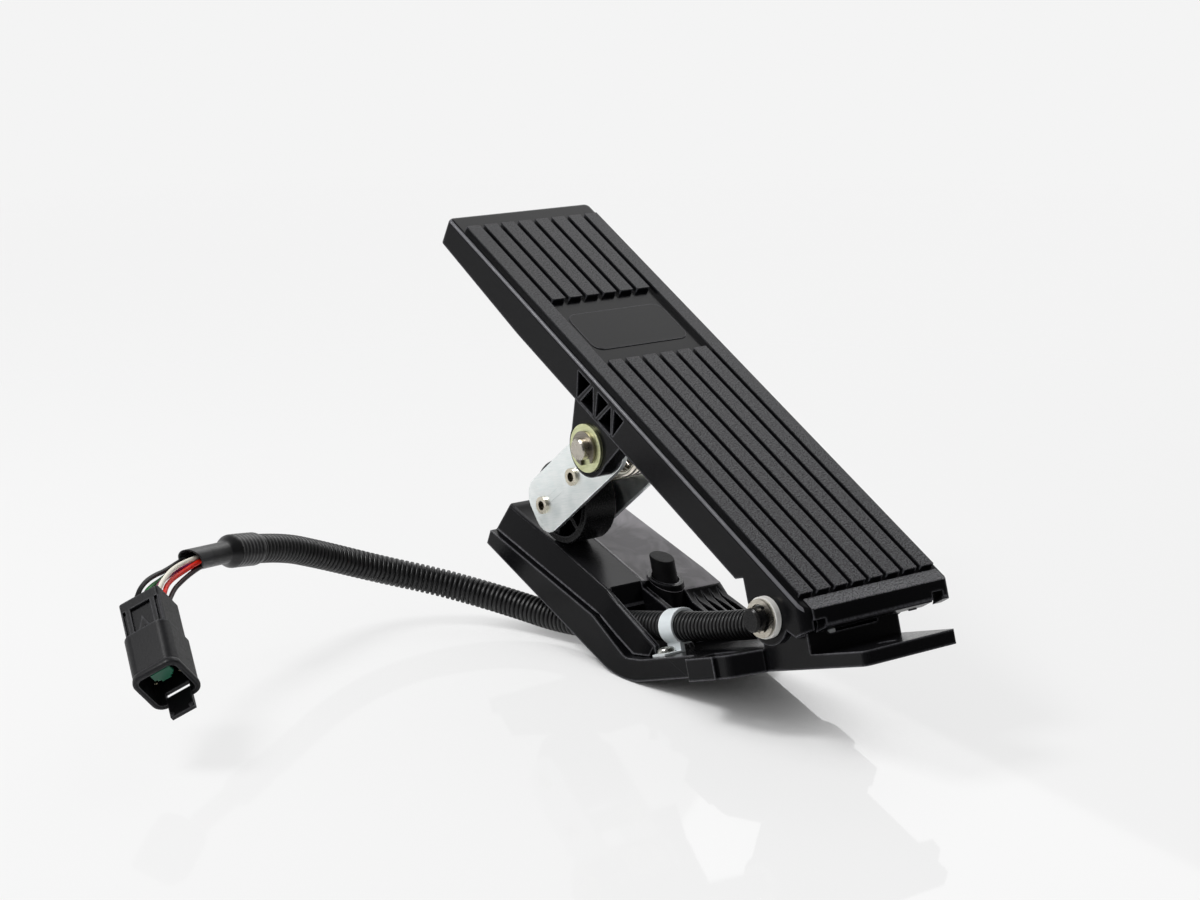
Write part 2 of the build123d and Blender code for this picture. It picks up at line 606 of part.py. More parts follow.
def flange_outline():
    """Side view of the base at its left flange, from the heel plate up the ramp."""
    top_y, top_z = deck_point(DECK_LENGTH, -DECK_HEIGHT)
    return rounded([(PLATE_HEEL_Y, 0), (FLANGE_BEND_Y, 0, FLANGE_BEND_RADIUS), (FLANGE_REAR_Y, FLANGE_REAR_Z),
                    (top_y, top_z), (FLANGE_KNEE_Y, FLANGE_KNEE_Z, 12),
                    (FLANGE_FOOT_Y, PLATE_THICKNESS + 1.5, 8), (FLANGE_FOOT_Y - 11, PLATE_THICKNESS),
                    (PLATE_HEEL_Y, PLATE_THICKNESS)])


def ramp_outline(step):
    """Side view of the ramp under the roller lane, raised by step."""
    return make_face(Polyline(deck_point(DECK_LENGTH, -DECK_HEIGHT - 2), deck_point(DECK_LENGTH, step),
                              deck_point(0, step), (DECK_FRONT_Y, PLATE_THICKNESS - 2),
                              (FLANGE_BEND_Y + 12, PLATE_THICKNESS - 2), close=True))


def ramp_wall_outline():
    """Side view of a wall that runs from the lane's front edge down to the heel plate."""
    low = PLATE_THICKNESS - 2
    return make_face(Polyline(deck_point(0, 0), (RAMP_FOOT_Y, RAMP_FOOT_Z), (RAMP_FOOT_Y, low),
                              (DECK_FRONT_Y, low), close=True))


def shelf_outline():
    """Side view of the shelf that carries the right of the lane on towards the heel, and its slope."""
    low = PLATE_THICKNESS - 2
    edge_y, edge_z = deck_point(-SHELF_LENGTH, LANE_STEP)
    return make_face(Polyline(deck_point(RAMP_SKIN, LANE_STEP), (edge_y, edge_z),
                              (edge_y - SHELF_KNEE_RUN, edge_z - SHELF_KNEE_DROP),
                              (SHELF_FOOT_Y, PLATE_THICKNESS), (SHELF_FOOT_Y, low),
                              (DECK_FRONT_Y + RAMP_SKIN, low), close=True))


def shelf_pockets():
    """The row of pockets in the shelf's slope, each running to a point under its edge."""
    edge_y = deck_point(-SHELF_LENGTH, LANE_STEP)[0]
    half = POCKET_WIDTH / 2
    pockets = []
    for index in range(POCKET_COUNT):
        x = (SHELF_LEFT + BASE_RIGHT) / 2 + (index - (POCKET_COUNT - 1) / 2) * POCKET_PITCH
        corners = [(x, edge_y - 1), (x - half, edge_y - POCKET_TAPER), (x - half, SHELF_FOOT_Y - 1),
                   (x + half, SHELF_FOOT_Y - 1), (x + half, edge_y - POCKET_TAPER)]
        pocket = make_face(Polyline(*corners, close=True))
        pockets.append(upright(pocket, PLATE_THICKNESS, DECK_FRONT_Z + PLATE_THICKNESS))
    return pockets


def underside_hollow(top):
    """Side view of the space under the ramp, open below behind the bend."""
    rear_low = deck_point(DECK_LENGTH - RAMP_SKIN, -DECK_HEIGHT - 26)
    foot_y = FLANGE_FOOT_Y - 4
    return make_face(Polyline(*top, (foot_y, PLATE_THICKNESS), (foot_y, RAMP_SKIN + 2),
                              (FLANGE_BEND_Y + 8, RAMP_SKIN + 5), (FLANGE_BEND_Y + 14, -4), rear_low,
                              close=True))


def ramp():
    """The rear of the base: flanged sides, ramp, roller lane and what stands in front of it."""
    body = across(flange_outline(), BASE_LEFT, BASE_RIGHT)
    body += across(ramp_outline(0), RAMP_LEFT, BASE_RIGHT)
    body += across(ramp_outline(LANE_STEP), LANE_LEFT, BASE_RIGHT)
    body += across(ramp_wall_outline(), RAMP_LEFT, RAMP_LEFT + WALL)
    low = [deck_point(DECK_LENGTH - RAMP_SKIN, -DECK_HEIGHT - RAMP_SKIN),
           (FLANGE_KNEE_Y + 2, FLANGE_KNEE_Z - RAMP_SKIN), (FLANGE_FOOT_Y + 4, PLATE_THICKNESS)]
    high = [deck_point(DECK_LENGTH - RAMP_SKIN, -RAMP_SKIN), deck_point(RAMP_SKIN, -RAMP_SKIN),
            (DECK_FRONT_Y - RAMP_SKIN + 4, DECK_FRONT_Z - 8)]
    body -= across(underside_hollow(low), BASE_LEFT + WALL, RAMP_REAR_RIGHT - WALL)
    body -= across(underside_hollow(high), RAMP_LEFT + WALL, RAMP_REAR_RIGHT - WALL)
    recess = Pos((RAMP_LEFT + WALL + LANE_RIGHT - WALL / 2) / 2, (FLANGE_FOOT_Y - 10 + DECK_FRONT_Y) / 2)
    recess_size = (LANE_RIGHT - WALL / 2 - RAMP_LEFT - WALL, DECK_FRONT_Y - FLANGE_FOOT_Y + 10)
    body -= upright(recess * Rectangle(*recess_size), PLATE_THICKNESS, 2 * DECK_FRONT_Z)
    keel = make_face(Polyline(deck_point(DECK_LENGTH - 1, -1), deck_point(0, -1), (FLANGE_FOOT_Y - 2, 27),
                              (RAMP_FOOT_Y, PLATE_THICKNESS - 1), (FLANGE_BEND_Y + 6, RAMP_SKIN),
                              (FLANGE_BEND_Y + 26, 22), (FLANGE_REAR_Y - 8, FLANGE_REAR_Z - 2), close=True))
    body += across(keel, LANE_RIGHT - WALL / 2, LANE_RIGHT + WALL / 2)
    body += across(shelf_outline(), SHELF_LEFT, BASE_RIGHT)
    for pocket in shelf_pockets():
        body -= pocket
    taper = make_face(Polyline((BASE_RIGHT, DECK_FRONT_Y), (BASE_RIGHT, FLANGE_REAR_Y),
                               (RAMP_REAR_RIGHT, FLANGE_REAR_Y), close=True))
    body -= upright(taper, 0, FLANGE_REAR_Y)
    dish_y, dish_z = deck_point(LANE_DISH_ALONG, LANE_STEP + LANE_DISH_RADIUS - LANE_DISH_DEPTH)
    body -= rod(dish_y, dish_z, LANE_DISH_RADIUS, LANE_LEFT, LANE_RIGHT - LANE_GROOVE / 2)
    groove = make_face(Polyline(deck_point(DECK_LENGTH, 0), deck_point(DECK_LENGTH, 2 * LANE_STEP),
                                deck_point(0, 2 * LANE_STEP), deck_point(0, 0), close=True))
    return body - across(groove, LANE_RIGHT - LANE_GROOVE / 2, LANE_RIGHT + LANE_GROOVE / 2)


def heel_plate():
    """The flat of the base: bolt bosses at both sides and the lobe that runs out under the heel."""
    half = BOLT_SPACING / 2
    left = -half - LEFT_BOSS_RADIUS
    right = half + RIGHT_BOSS_RADIUS
    flat = rounded([(BASE_LEFT, FLANGE_FOOT_Y - 10), (BASE_LEFT, LEFT_BOSS_TOE_Y + 8, 8),
                    (left, LEFT_BOSS_TOE_Y, 2), (left, BOSS_PANEL_HEEL_Y),
                    (left + BOSS_PANEL, BOSS_PANEL_HEEL_Y), (left + BOSS_PANEL, LEFT_BOSS_HEEL_Y, 6),
                    (BASE_LEFT, PLATE_HEEL_Y), (BASE_RIGHT - 4, PLATE_HEEL_Y), (BASE_RIGHT - 1, -8),
                    (right, -6, 3), (right, 8, 5), (BASE_RIGHT, 13), (BASE_RIGHT, FLANGE_FOOT_Y - 10)])
    lobe = rounded([(BASE_LEFT + 1, PLATE_HEEL_Y + 5), (BASE_LEFT + 1, PLATE_HEEL_Y),
                    (LOBE_LEFT, LOBE_HEEL_Y, 2.5), (LOBE_RIGHT, LOBE_HEEL_Y, 1.5),
                    (LOBE_RIGHT + 3.5, PLATE_HEEL_Y - 12),
                    (BASE_RIGHT - 4, PLATE_HEEL_Y), (BASE_RIGHT - 4, PLATE_HEEL_Y + 5)])
    body = upright(flat, 0, PLATE_THICKNESS) + upright(lobe, 0, LOBE_THICKNESS)
    for x in (-half, half):
        body -= Pos(x, 0, PLATE_THICKNESS - BOLT_SEAT_DEPTH / 2) * Cylinder(BOLT_SEAT_RADIUS, BOLT_SEAT_DEPTH)
    return body


def hinge_block():
    """The block under the heel: it carries the hinge pin and the sensor, with a slot in its front."""
    low = LOBE_THICKNESS - 1
    outline = rounded([(BLOCK_FRONT_Y, low), (BLOCK_FRONT_Y, 17), (HEEL_Y - 8.5, BLOCK_TOP - 1, 3),
                       (HEEL_Y + 9, BLOCK_TOP, 3), (BLOCK_BACK_Y, SENSOR_TOP + 2), (BLOCK_BACK_Y, low)])
    plan = make_face(Polyline((BASE_LEFT + 1, PLATE_HEEL_Y), (LOBE_LEFT, LOBE_HEEL_Y),
                              (BLOCK_RIGHT, LOBE_HEEL_Y), (BLOCK_RIGHT, PLATE_HEEL_Y), close=True))
    block = across(outline, LOBE_LEFT, BLOCK_RIGHT) & upright(plan, 0, 2 * BLOCK_TOP)
    pocket = Pos((SENSOR_LEFT + SENSOR_RIGHT) / 2, (SENSOR_FRONT_Y + BLOCK_BACK_Y) / 2)
    size = (SENSOR_RIGHT - SENSOR_LEFT + 2 * SENSOR_FIT, BLOCK_BACK_Y - SENSOR_FRONT_Y)
    block -= upright(pocket * Rectangle(*size), SENSOR_BOTTOM - SENSOR_FIT, SENSOR_TOP + SENSOR_FIT)
    slot = Pos(SLOT_X, SLOT_Z) * RectangleRounded(SLOT_WIDTH, SLOT_HEIGHT, SLOT_HEIGHT / 4)
    return block - lengthwise(slot, BLOCK_FRONT_Y, BLOCK_FRONT_Y + SLOT_DEPTH)


def slanted_post(radius, bottom, top):
    """Upright post at the stop; its end is parallel to the tread of a treadle that is right down."""
    post = upright(Pos(STOP_X, STOP_Y) * Circle(radius), bottom, top + radius)
    end = Plane(origin=(STOP_X, STOP_Y, top), x_dir=(1, 0, 0), z_dir=(0, -sin(DOWN), cos(DOWN)))
    return post - extrude(end * Circle(3 * radius), amount=3 * radius)


def stop_boss():
    """Round boss that stands on the bend of the base and holds the rubber stop."""
    high = COLLAR_TOP + FLANGE_REAR_Z
    over_bend = rounded([(PLATE_HEEL_Y, 0), (FLANGE_BEND_Y, 0, FLANGE_BEND_RADIUS),
                         (FLANGE_REAR_Y, FLANGE_REAR_Z), (FLANGE_REAR_Y, high), (PLATE_HEEL_Y, high)])
    return slanted_post(COLLAR_RADIUS, 0, COLLAR_TOP) & across(over_bend, BASE_LEFT, BASE_RIGHT)


def base():
    """Ramp, heel plate, stop boss and hinge block as one moulding."""
    body = ramp() + heel_plate() + hinge_block() + stop_boss()
    body -= slanted_post(STOP_RADIUS + STOP_FIT, STOP_SEAT, STOP_TOP)
    gap = slanted_post(STOP_RADIUS + COLLAR_GAP, STOP_SEAT, STOP_TOP)
    body -= gap - slanted_post(COLLAR_RADIUS, STOP_SEAT, COLLAR_TOP - COLLAR_GAP_DEPTH)
    for x, y in ((-BOLT_SPACING / 2, 0), (BOLT_SPACING / 2, 0), (HEEL_BOLT_X, HEEL_BOLT_Y)):
        body -= Pos(x, y, PLATE_THICKNESS / 2) * Cylinder(BOLT_RADIUS, 2 * PLATE_THICKNESS)
    body -= rod(HEEL_Y, HEEL_Z, HEEL_PIN_RADIUS + PIN_FIT, LOBE_LEFT, BLOCK_RIGHT)
    body -= Pos(CLIP_SCREW_X, CLIP_Y, PLATE_THICKNESS) * Cylinder(SCREW_RADIUS + SCREW_FIT, 2 * SCREW_LENGTH)
    return body


def rubber_stop():
    """Rubber buffer seated in the collar of the base."""
    stop = slanted_post(STOP_RADIUS, STOP_SEAT, STOP_TOP)
    return fillet(stop.edges().sort_by(Axis.Z)[-1:], 0.6)


def sensor_module():
    """Sensor case in the pocket of the hinge block, with the gland that the loom comes out of."""
    x, y, z = LOOM_ROUTE[0]
    case = Pos((SENSOR_LEFT + SENSOR_RIGHT) / 2, (SENSOR_FRONT_Y + BLOCK_BACK_Y) / 2)
    size = (SENSOR_RIGHT - SENSOR_LEFT, BLOCK_BACK_Y - SENSOR_FRONT_Y - 2 * SENSOR_FIT)
    module = upright(case * Rectangle(*size), SENSOR_BOTTOM, SENSOR_TOP)
    module += lengthwise(Pos(x, z) * Circle(GLAND_RADIUS), BLOCK_BACK_Y - 1, y + GLAND_LENGTH / 2)
    return module - lengthwise(Pos(x, z) * Circle(LOOM_RADIUS + LOOM_FIT), y, y + GLAND_LENGTH)


def cord(name, route, radius):
    """Plain round cord along a route: straight runs joined by tangent arcs as large as the runs allow."""
    points = [Vector(point) for point in route]
    radii = []
    for before, corner, after in zip(points, points[1:], points[2:]):
        turn = radians((corner - before).get_angle(after - corner))
        run = min((corner - before).length, (after - corner).length)
        radii.append(0.45 * run / tan(turn / 2))
    path = FilletPolyline(*points, radius=radii)
    section = Plane(origin=path @ 0, z_dir=path % 0) * Circle(radius)
    solid = sweep(section, path=path)
    expected = pi * radius ** 2 * path.length
    print(name, "radii", [round(value, 1) for value in radii], "length", round(path.length, 1),
          "volume share", round(solid.volume / expected, 4))
    return solid


def loom_clip():
    """White strap round the loom, with a foot that is screwed to the heel plate."""
    x = LOOM_ROUTE[2][0]
    z = LOOM_ROUTE[2][2]
    inner = LOOM_RADIUS + LOOM_FIT
    start = CLIP_Y - CLIP_WIDTH / 2
    end = CLIP_Y + CLIP_WIDTH / 2
    strap = lengthwise(Pos(x, z) * Circle(inner + CLIP_BAND), start, end)
    foot_end = CLIP_SCREW_X - SCREW_HEAD_RADIUS - CLIP_BAND / 2
    tail = x - inner / 2 + CLIP_BAND
    foot = Pos((foot_end + tail) / 2, CLIP_Y) * Rectangle(tail - foot_end, CLIP_WIDTH)
    strap += upright(foot, PLATE_THICKNESS, PLATE_THICKNESS + CLIP_FOOT)
    post = Pos(tail - CLIP_BAND, CLIP_Y) * Rectangle(2 * CLIP_BAND, CLIP_WIDTH)
    strap += upright(post, PLATE_THICKNESS, z)
    loom_way = Vector(*LOOM_ROUTE[3]) - Vector(*LOOM_ROUTE[1])
    bore = Plane(origin=LOOM_ROUTE[2], z_dir=loom_way) * Cylinder(inner, 3 * CLIP_WIDTH)
    hole = Pos(CLIP_SCREW_X, CLIP_Y, PLATE_THICKNESS) * Cylinder(SCREW_RADIUS + SCREW_FIT, 3 * CLIP_FOOT)
    return strap - bore - hole


def clip_screw():
    """Pan-head screw through the foot of the clip."""
    seat = PLATE_THICKNESS + CLIP_FOOT
    head = Pos(CLIP_SCREW_X, CLIP_Y, seat + SCREW_HEAD / 2) * Cylinder(SCREW_HEAD_RADIUS, SCREW_HEAD)
    head = fillet(head.edges().sort_by(Axis.Z)[-1:], 1.4)
    head -= Pos(CLIP_SCREW_X, CLIP_Y, seat + SCREW_HEAD) * Cylinder(1.5, 1.4)
    return head + Pos(CLIP_SCREW_X, CLIP_Y, seat - SCREW_LENGTH / 2) * Cylinder(SCREW_RADIUS, SCREW_LENGTH)


def neck_plane():
    """Where the shrink sleeve ends, facing out of it, with the wires' rows lying as in the connector."""
    way = (Vector(*NECK_END) - Vector(*LOOM_ROUTE[-1])).normalized()
    lie = Vector(*MOUTH_ACROSS)
    return Plane(origin=NECK_END, x_dir=lie - way * lie.dot(way), z_dir=way)


def shrink_sleeve():
    """Shrink sleeve over the end of the loom, necked down round the wires."""
    loom_end = Vector(*LOOM_ROUTE[-1])
    grip = Plane(origin=loom_end, z_dir=loom_end - Vector(*LOOM_ROUTE[-2]))
    neck = neck_plane()
    lip = NECK_RADIUS * NECK_SLANT
    length = (neck.origin - loom_end).length + lip
    sleeve = extrude(grip * Circle(SHRINK_RADIUS), amount=-SHRINK_GRIP)
    sleeve += grip * Pos(0, 0, SHRINK_CONE / 2) * Cone(SHRINK_RADIUS, NECK_RADIUS, SHRINK_CONE)
    sleeve += extrude(neck.offset(lip) * Circle(NECK_RADIUS), amount=-length)
    sleeve -= extrude(grip * Circle(LOOM_RADIUS + LOOM_FIT), amount=-2 * SHRINK_GRIP)
    sleeve -= extrude(neck.offset(lip) * Circle(NECK_BORE_RADIUS), amount=-NECK_BORE_DEPTH - lip)
    cut = Plane(origin=neck.origin, x_dir=neck.x_dir, z_dir=neck.z_dir - neck.y_dir * NECK_SLANT)
    return sleeve - extrude(cut * Circle(4 * NECK_RADIUS), amount=4 * NECK_RADIUS)


def connector_plane():
    """The middle of the connector's mouth, facing out of it."""
    return Plane(origin=MOUTH_POINT, x_dir=MOUTH_ACROSS, z_dir=MOUTH_WAY)


def connector_housing():
    """Connector shell: rear body, wider open shroud, keyed upper face and a latch tongue below its mouth."""
    front = RectangleRounded(CONNECTOR_WIDTH, CONNECTOR_DEPTH, CONNECTOR_CORNER)
    rear = RectangleRounded(REAR_WIDTH, REAR_DEPTH, REAR_CORNER)
    inner = offset(front, -CONNECTOR_WALL)
    shell = upright(front, -CONNECTOR_SHROUD, 0) + upright(rear, -CONNECTOR_LENGTH, -CONNECTOR_SHROUD)
    face = REAR_DEPTH / 2
    for x, width in ((0, REAR_WIDTH / 2), (-0.4 * REAR_WIDTH, KEY_DEPTH), (0.4 * REAR_WIDTH, KEY_DEPTH)):
        pocket = Pos(x, face) * Rectangle(width, 2 * KEY_DEPTH)
        shell -= upright(pocket, -CONNECTOR_LENGTH + 5, -CONNECTOR_SHROUD)
    arrow = make_face(Polyline((-3.4, -CONNECTOR_SHROUD), (3.4, -CONNECTOR_SHROUD),
                               (0, -CONNECTOR_SHROUD - 9), close=True))
    shell += extrude(Plane.XZ.offset(-face + 2 * KEY_DEPTH) * arrow, amount=-2 * KEY_DEPTH)
    shell -= upright(inner, -CONNECTOR_CAVITY, 0)
    shell -= upright(offset(rear, -CONNECTOR_WALL), -CONNECTOR_LENGTH, -CONNECTOR_LENGTH + REAR_RECESS)
    tongue = Pos(0, (LATCH_THICKNESS - CONNECTOR_DEPTH) / 2)
    shell += upright(tongue * Rectangle(LATCH_WIDTH, LATCH_THICKNESS), -LATCH_SLOT_BACK, LATCH_REACH)
    slot = tongue * Rectangle(LATCH_WIDTH, 3 * LATCH_THICKNESS)
    shell -= upright(slot, -LATCH_SLOT_BACK, -LATCH_SLOT_BACK + LATCH_SLOT)
    return connector_plane() * shell


def wedge_lock():
    """Coloured wedge between the two rows of terminals."""
    outline = RectangleRounded(WEDGE_WIDTH, WEDGE_DEPTH, 0.8)
    return connector_plane() * upright(outline, -CONNECTOR_CAVITY, -CONNECTOR_CAVITY + WEDGE_LENGTH)


def terminal_places():
    """The middle of each terminal across the connector, row by row."""
    columns = (-TERMINAL_PITCH_X, 0, TERMINAL_PITCH_X)
    return [(x, y) for y in (TERMINAL_PITCH_Y / 2, -TERMINAL_PITCH_Y / 2) for x in columns]


def terminal(place):
    """Plated contact pin standing in the mouth of the connector."""
    outline = Pos(*place) * Circle(TERMINAL_RADIUS)
    return connector_plane() * upright(outline, -CONNECTOR_CAVITY, -CONNECTOR_CAVITY + TERMINAL_LENGTH)


def wire_route(place):
    """Corners of a wire's way from the bottom of the sleeve's neck to the rear of the connector."""
    x, y = place
    neck = neck_plane()
    plug = connector_plane()
    rear = -CONNECTOR_LENGTH + REAR_RECESS
    twist = radians(WIRE_TWIST)
    bundled = (WIRE_BUNDLE * (x * cos(twist) - y * sin(twist)),
               WIRE_BUNDLE * (x * sin(twist) + y * cos(twist)))
    from_neck = [neck.from_local_coords((*bundled, z)) for z in (-NECK_BORE_DEPTH, WIRE_EXIT)]
    return from_neck + [plug.from_local_coords((x, y, z)) for z in (rear - WIRE_APPROACH, rear)]


NODES = {
    "base": base(),
    "rubber_stop": rubber_stop(),
    "sensor_module": sensor_module(),
    "heel_pin": heel_pin(),
    "heel_bush_left": heel_bush(LEFT_EAR_X, 1),
    "heel_bush_right": heel_bush(RIGHT_EAR_X, 1),
    "retaining_ring": retaining_ring(),
    "treadle": treadle(),
    "pivot_pin": pivot_pin(),
    "side_washer": side_washer(),
    "pivot_clip": pivot_clip(),
    "thrust_washer_left": thrust_washer(LEFT_LUG_X + LUG_THICKNESS + FACE_GAP),
    "thrust_washer_right": thrust_washer(FAR_PLATE_X + ARM_PLATE + FACE_GAP),
    "arm_plate_left": arm_plate(NEAR_PLATE_X),
    "arm_plate_right": arm_plate(FAR_PLATE_X),
    "cross_spacer": hollow_rivet(SPACER_DISTANCE, SPACER_RADIUS),
    "roller_axle": hollow_rivet(ARM_LENGTH, RIVET_RADIUS),
    "pivot_sleeve": pivot_sleeve(),
    "roller": roller(),
    "torsion_spring": torsion_spring(),
    "loom": cord("loom", LOOM_ROUTE, LOOM_RADIUS),
    "loom_clip": loom_clip(),
    "clip_screw": clip_screw(),
    "shrink_sleeve": shrink_sleeve(),
    "connector_housing": connector_housing(),
    "wedge_lock": wedge_lock(),
}
COLOURS = ("black", "white", "red", "green", "purple", "brown")
for index, (colour, place) in enumerate(zip(COLOURS, terminal_places())):
    NODES[f"wire_{colour}"] = cord(f"wire_{colour}", wire_route(place), WIRE_RADIUS)
    NODES[f"terminal_{index + 1}"] = terminal(place)

os.makedirs("parts", exist_ok=True)
for node, solid in NODES.items():
    export_step(solid, f"parts/{node}.step")
    print(node, "solids", len(solid.solids()), "valid", solid.is_valid, "volume", round(solid.volume))
print("roller centre", round(ROLLER_Y, 2), round(ROLLER_Z, 2), "arm tilt", round(degrees(ARM_TILT), 2))
print("heel axis", round(HEEL_Y, 3), round(HEEL_Z, 3), "pivot axis", round(PIVOT_Y, 3), round(PIVOT_Z, 3))
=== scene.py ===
import json
import math

import bmesh
import bpy
from mathutils import Matrix, Vector

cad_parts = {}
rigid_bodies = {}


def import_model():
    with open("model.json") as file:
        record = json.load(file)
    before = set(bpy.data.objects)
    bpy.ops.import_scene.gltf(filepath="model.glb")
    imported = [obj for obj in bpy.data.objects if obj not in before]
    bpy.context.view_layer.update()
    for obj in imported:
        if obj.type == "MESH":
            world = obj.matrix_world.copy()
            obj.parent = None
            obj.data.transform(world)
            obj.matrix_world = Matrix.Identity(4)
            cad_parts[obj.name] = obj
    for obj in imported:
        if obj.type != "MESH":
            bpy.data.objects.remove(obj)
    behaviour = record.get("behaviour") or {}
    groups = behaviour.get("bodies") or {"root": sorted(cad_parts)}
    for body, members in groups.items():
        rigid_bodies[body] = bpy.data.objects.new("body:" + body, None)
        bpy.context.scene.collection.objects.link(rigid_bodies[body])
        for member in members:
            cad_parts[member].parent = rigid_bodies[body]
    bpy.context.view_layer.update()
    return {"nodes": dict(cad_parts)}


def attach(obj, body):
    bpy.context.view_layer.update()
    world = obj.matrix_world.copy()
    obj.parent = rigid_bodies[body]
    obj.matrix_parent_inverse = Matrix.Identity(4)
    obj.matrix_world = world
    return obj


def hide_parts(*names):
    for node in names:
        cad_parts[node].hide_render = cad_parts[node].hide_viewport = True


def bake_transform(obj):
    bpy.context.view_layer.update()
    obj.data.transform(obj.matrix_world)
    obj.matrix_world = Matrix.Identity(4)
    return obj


for stray in list(bpy.data.objects):
    bpy.data.objects.remove(stray)
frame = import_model()
nodes = frame["nodes"]

# Base moulding
# One black glass-filled nylon moulding: bolt plate, hinge block, stop boss and the ramp that the roller runs up.
# The mould is spark eroded, so its faces are dull and finely grained; its outer edges are painted lighter, partly as
# rubbing and partly as a painted highlight, and the right half of the lane is painted a grey film, partly grease
# smeared by the roller and partly a painted reflection of the backdrop.

MM = 0.001


def srgb(code):
    """Linear colour of an sRGB hex value."""
    channels = [int(code[i:i + 2], 16) / 255 for i in (1, 3, 5)]
    return (*[c / 12.92 if c <= 0.04045 else ((c + 0.055) / 1.055) ** 2.4 for c in channels], 1)


def add_node(tree, kind, inputs=(), **settings):
    """Adds a shader node; each input is given a value or linked to another node's output."""
    node = tree.nodes.new("ShaderNode" + kind)
    for name, value in settings.items():
        setattr(node, name, value)
    for name, value in dict(inputs).items():
        if isinstance(value, bpy.types.NodeSocket):
            tree.links.new(value, node.inputs[name])
        else:
            node.inputs[name].default_value = value
    return node


def start_material(name):
    """An empty material, its node tree and its shader."""
    material = bpy.data.materials.new(name)
    material.use_nodes = True
    return material, material.node_tree, material.node_tree.nodes["Principled BSDF"]


PLASTIC_IOR = 1.53
EDGE_PAINT_REACH = 1.1


# A spark-eroded grain is about 0.2 mm wide. Every moulding here has its grain drawn coarser, so that it shows.
def moulded_plastic(name, dark, light, rubbed_and_highlit, grain, relief, gloss, shine=0.5, cloud=35):
    """Plastic from a textured mould: grain in mm as relief, slow clouding from the melt, and outer edges painted
    lighter as rubbing and painted highlight.
    """
    material, tree, shader = start_material(name)
    place = add_node(tree, "TexCoord").outputs["Object"]
    melt = add_node(tree, "TexNoise", {"Vector": place, "Scale": 1 / (cloud * MM), "Detail": 4})
    pores = add_node(tree, "TexNoise", {"Vector": place, "Scale": 1 / (grain * MM), "Detail": 2})
    body = add_node(tree, "MixRGB", {"Fac": melt.outputs["Fac"], "Color1": srgb(dark), "Color2": srgb(light)})
    # Outer edges are painted in the lighter colour, partly as rubbing and partly as a painted highlight.
    inside = add_node(tree, "AmbientOcclusion", {"Distance": EDGE_PAINT_REACH * MM}, inside=True, only_local=True,
                      samples=8)
    outer = add_node(tree, "MapRange", {"Value": inside.outputs["AO"], "From Min": 0.92, "From Max": 0.5,
                                        "To Max": 1.6})
    patchy = add_node(tree, "Math", {0: outer.outputs["Result"], 1: pores.outputs["Fac"]}, operation="MULTIPLY",
                      use_clamp=True)
    colour = add_node(tree, "MixRGB", {"Fac": patchy.outputs[0], "Color1": body.outputs[0], "Color2": srgb(rubbed_and_highlit)})
    sheen = add_node(tree, "MapRange", {"Value": pores.outputs["Fac"], "From Min": 0.3, "From Max": 0.7,
                                        "To Min": gloss[0], "To Max": gloss[1]})
    relief_bump = add_node(tree, "Bump", {"Height": pores.outputs["Fac"], "Distance": relief * MM})
    for socket, output in (("Base Color", colour.outputs[0]), ("Roughness", sheen.outputs["Result"]),
                           ("Normal", relief_bump.outputs["Normal"])):
        tree.links.new(output, shader.inputs[socket])
    shader.inputs["IOR"].default_value = PLASTIC_IOR
    shader.inputs["Specular IOR Level"].default_value = shine
    return material


def lay_over(material, mask, colour):
    """Lays a second colour over a material where a mask is 1."""
    tree = material.node_tree
    surface = tree.nodes["Principled BSDF"].inputs["Base Color"]
    mix = add_node(tree, "MixRGB", {"Fac": mask, "Color1": surface.links[0].from_socket, "Color2": colour})
    tree.links.new(mix.outputs[0], surface)


WELD_GAP = 0.002
SHARP_ANGLE = math.radians(35)


def finish_node(name, material, edge=0.0):
    """Gives a CAD solid its material and breaks its sharp edges by a width in mm."""
    solid = nodes[name]
    solid.data.materials.clear()
    solid.data.materials.append(material)
    if edge:
        weld = solid.modifiers.new("weld", "WELD")
        weld.merge_threshold = WELD_GAP * MM
        bevel = solid.modifiers.new("broken edges", "BEVEL")
        bevel.width = edge * MM
        bevel.segments = 2
        bevel.limit_method = "ANGLE"
        bevel.angle_limit = SHARP_ANGLE
        even = solid.modifiers.new("even shading", "WEIGHTED_NORMAL")
        even.weight = 100


def skin_rings(name, rings, hollow=False):
    """A closed mesh over rings of points, capped at both ends, or joined round a hollow middle."""
    mesh = bmesh.new()
    loops = [[mesh.verts.new(point) for point in ring] for ring in rings]
    around = len(loops[0])
    for low, high in zip(loops, loops[1:] + loops[:hollow]):
        for step in range(around):
            after = (step + 1) % around
            mesh.faces.new((low[step], low[after], high[after], high[step]))
    if not hollow:
        mesh.faces.new(reversed(loops[0]))
        mesh.faces.new(loops[-1])
    bmesh.ops.recalc_face_normals(mesh, faces=mesh.faces)
    data = bpy.data.meshes.new(name)
    mesh.to_mesh(data)
    mesh.free()
    data.shade_smooth()
    piece = bpy.data.objects.new(name, data)
    bpy.context.scene.collection.objects.link(piece)
    return piece


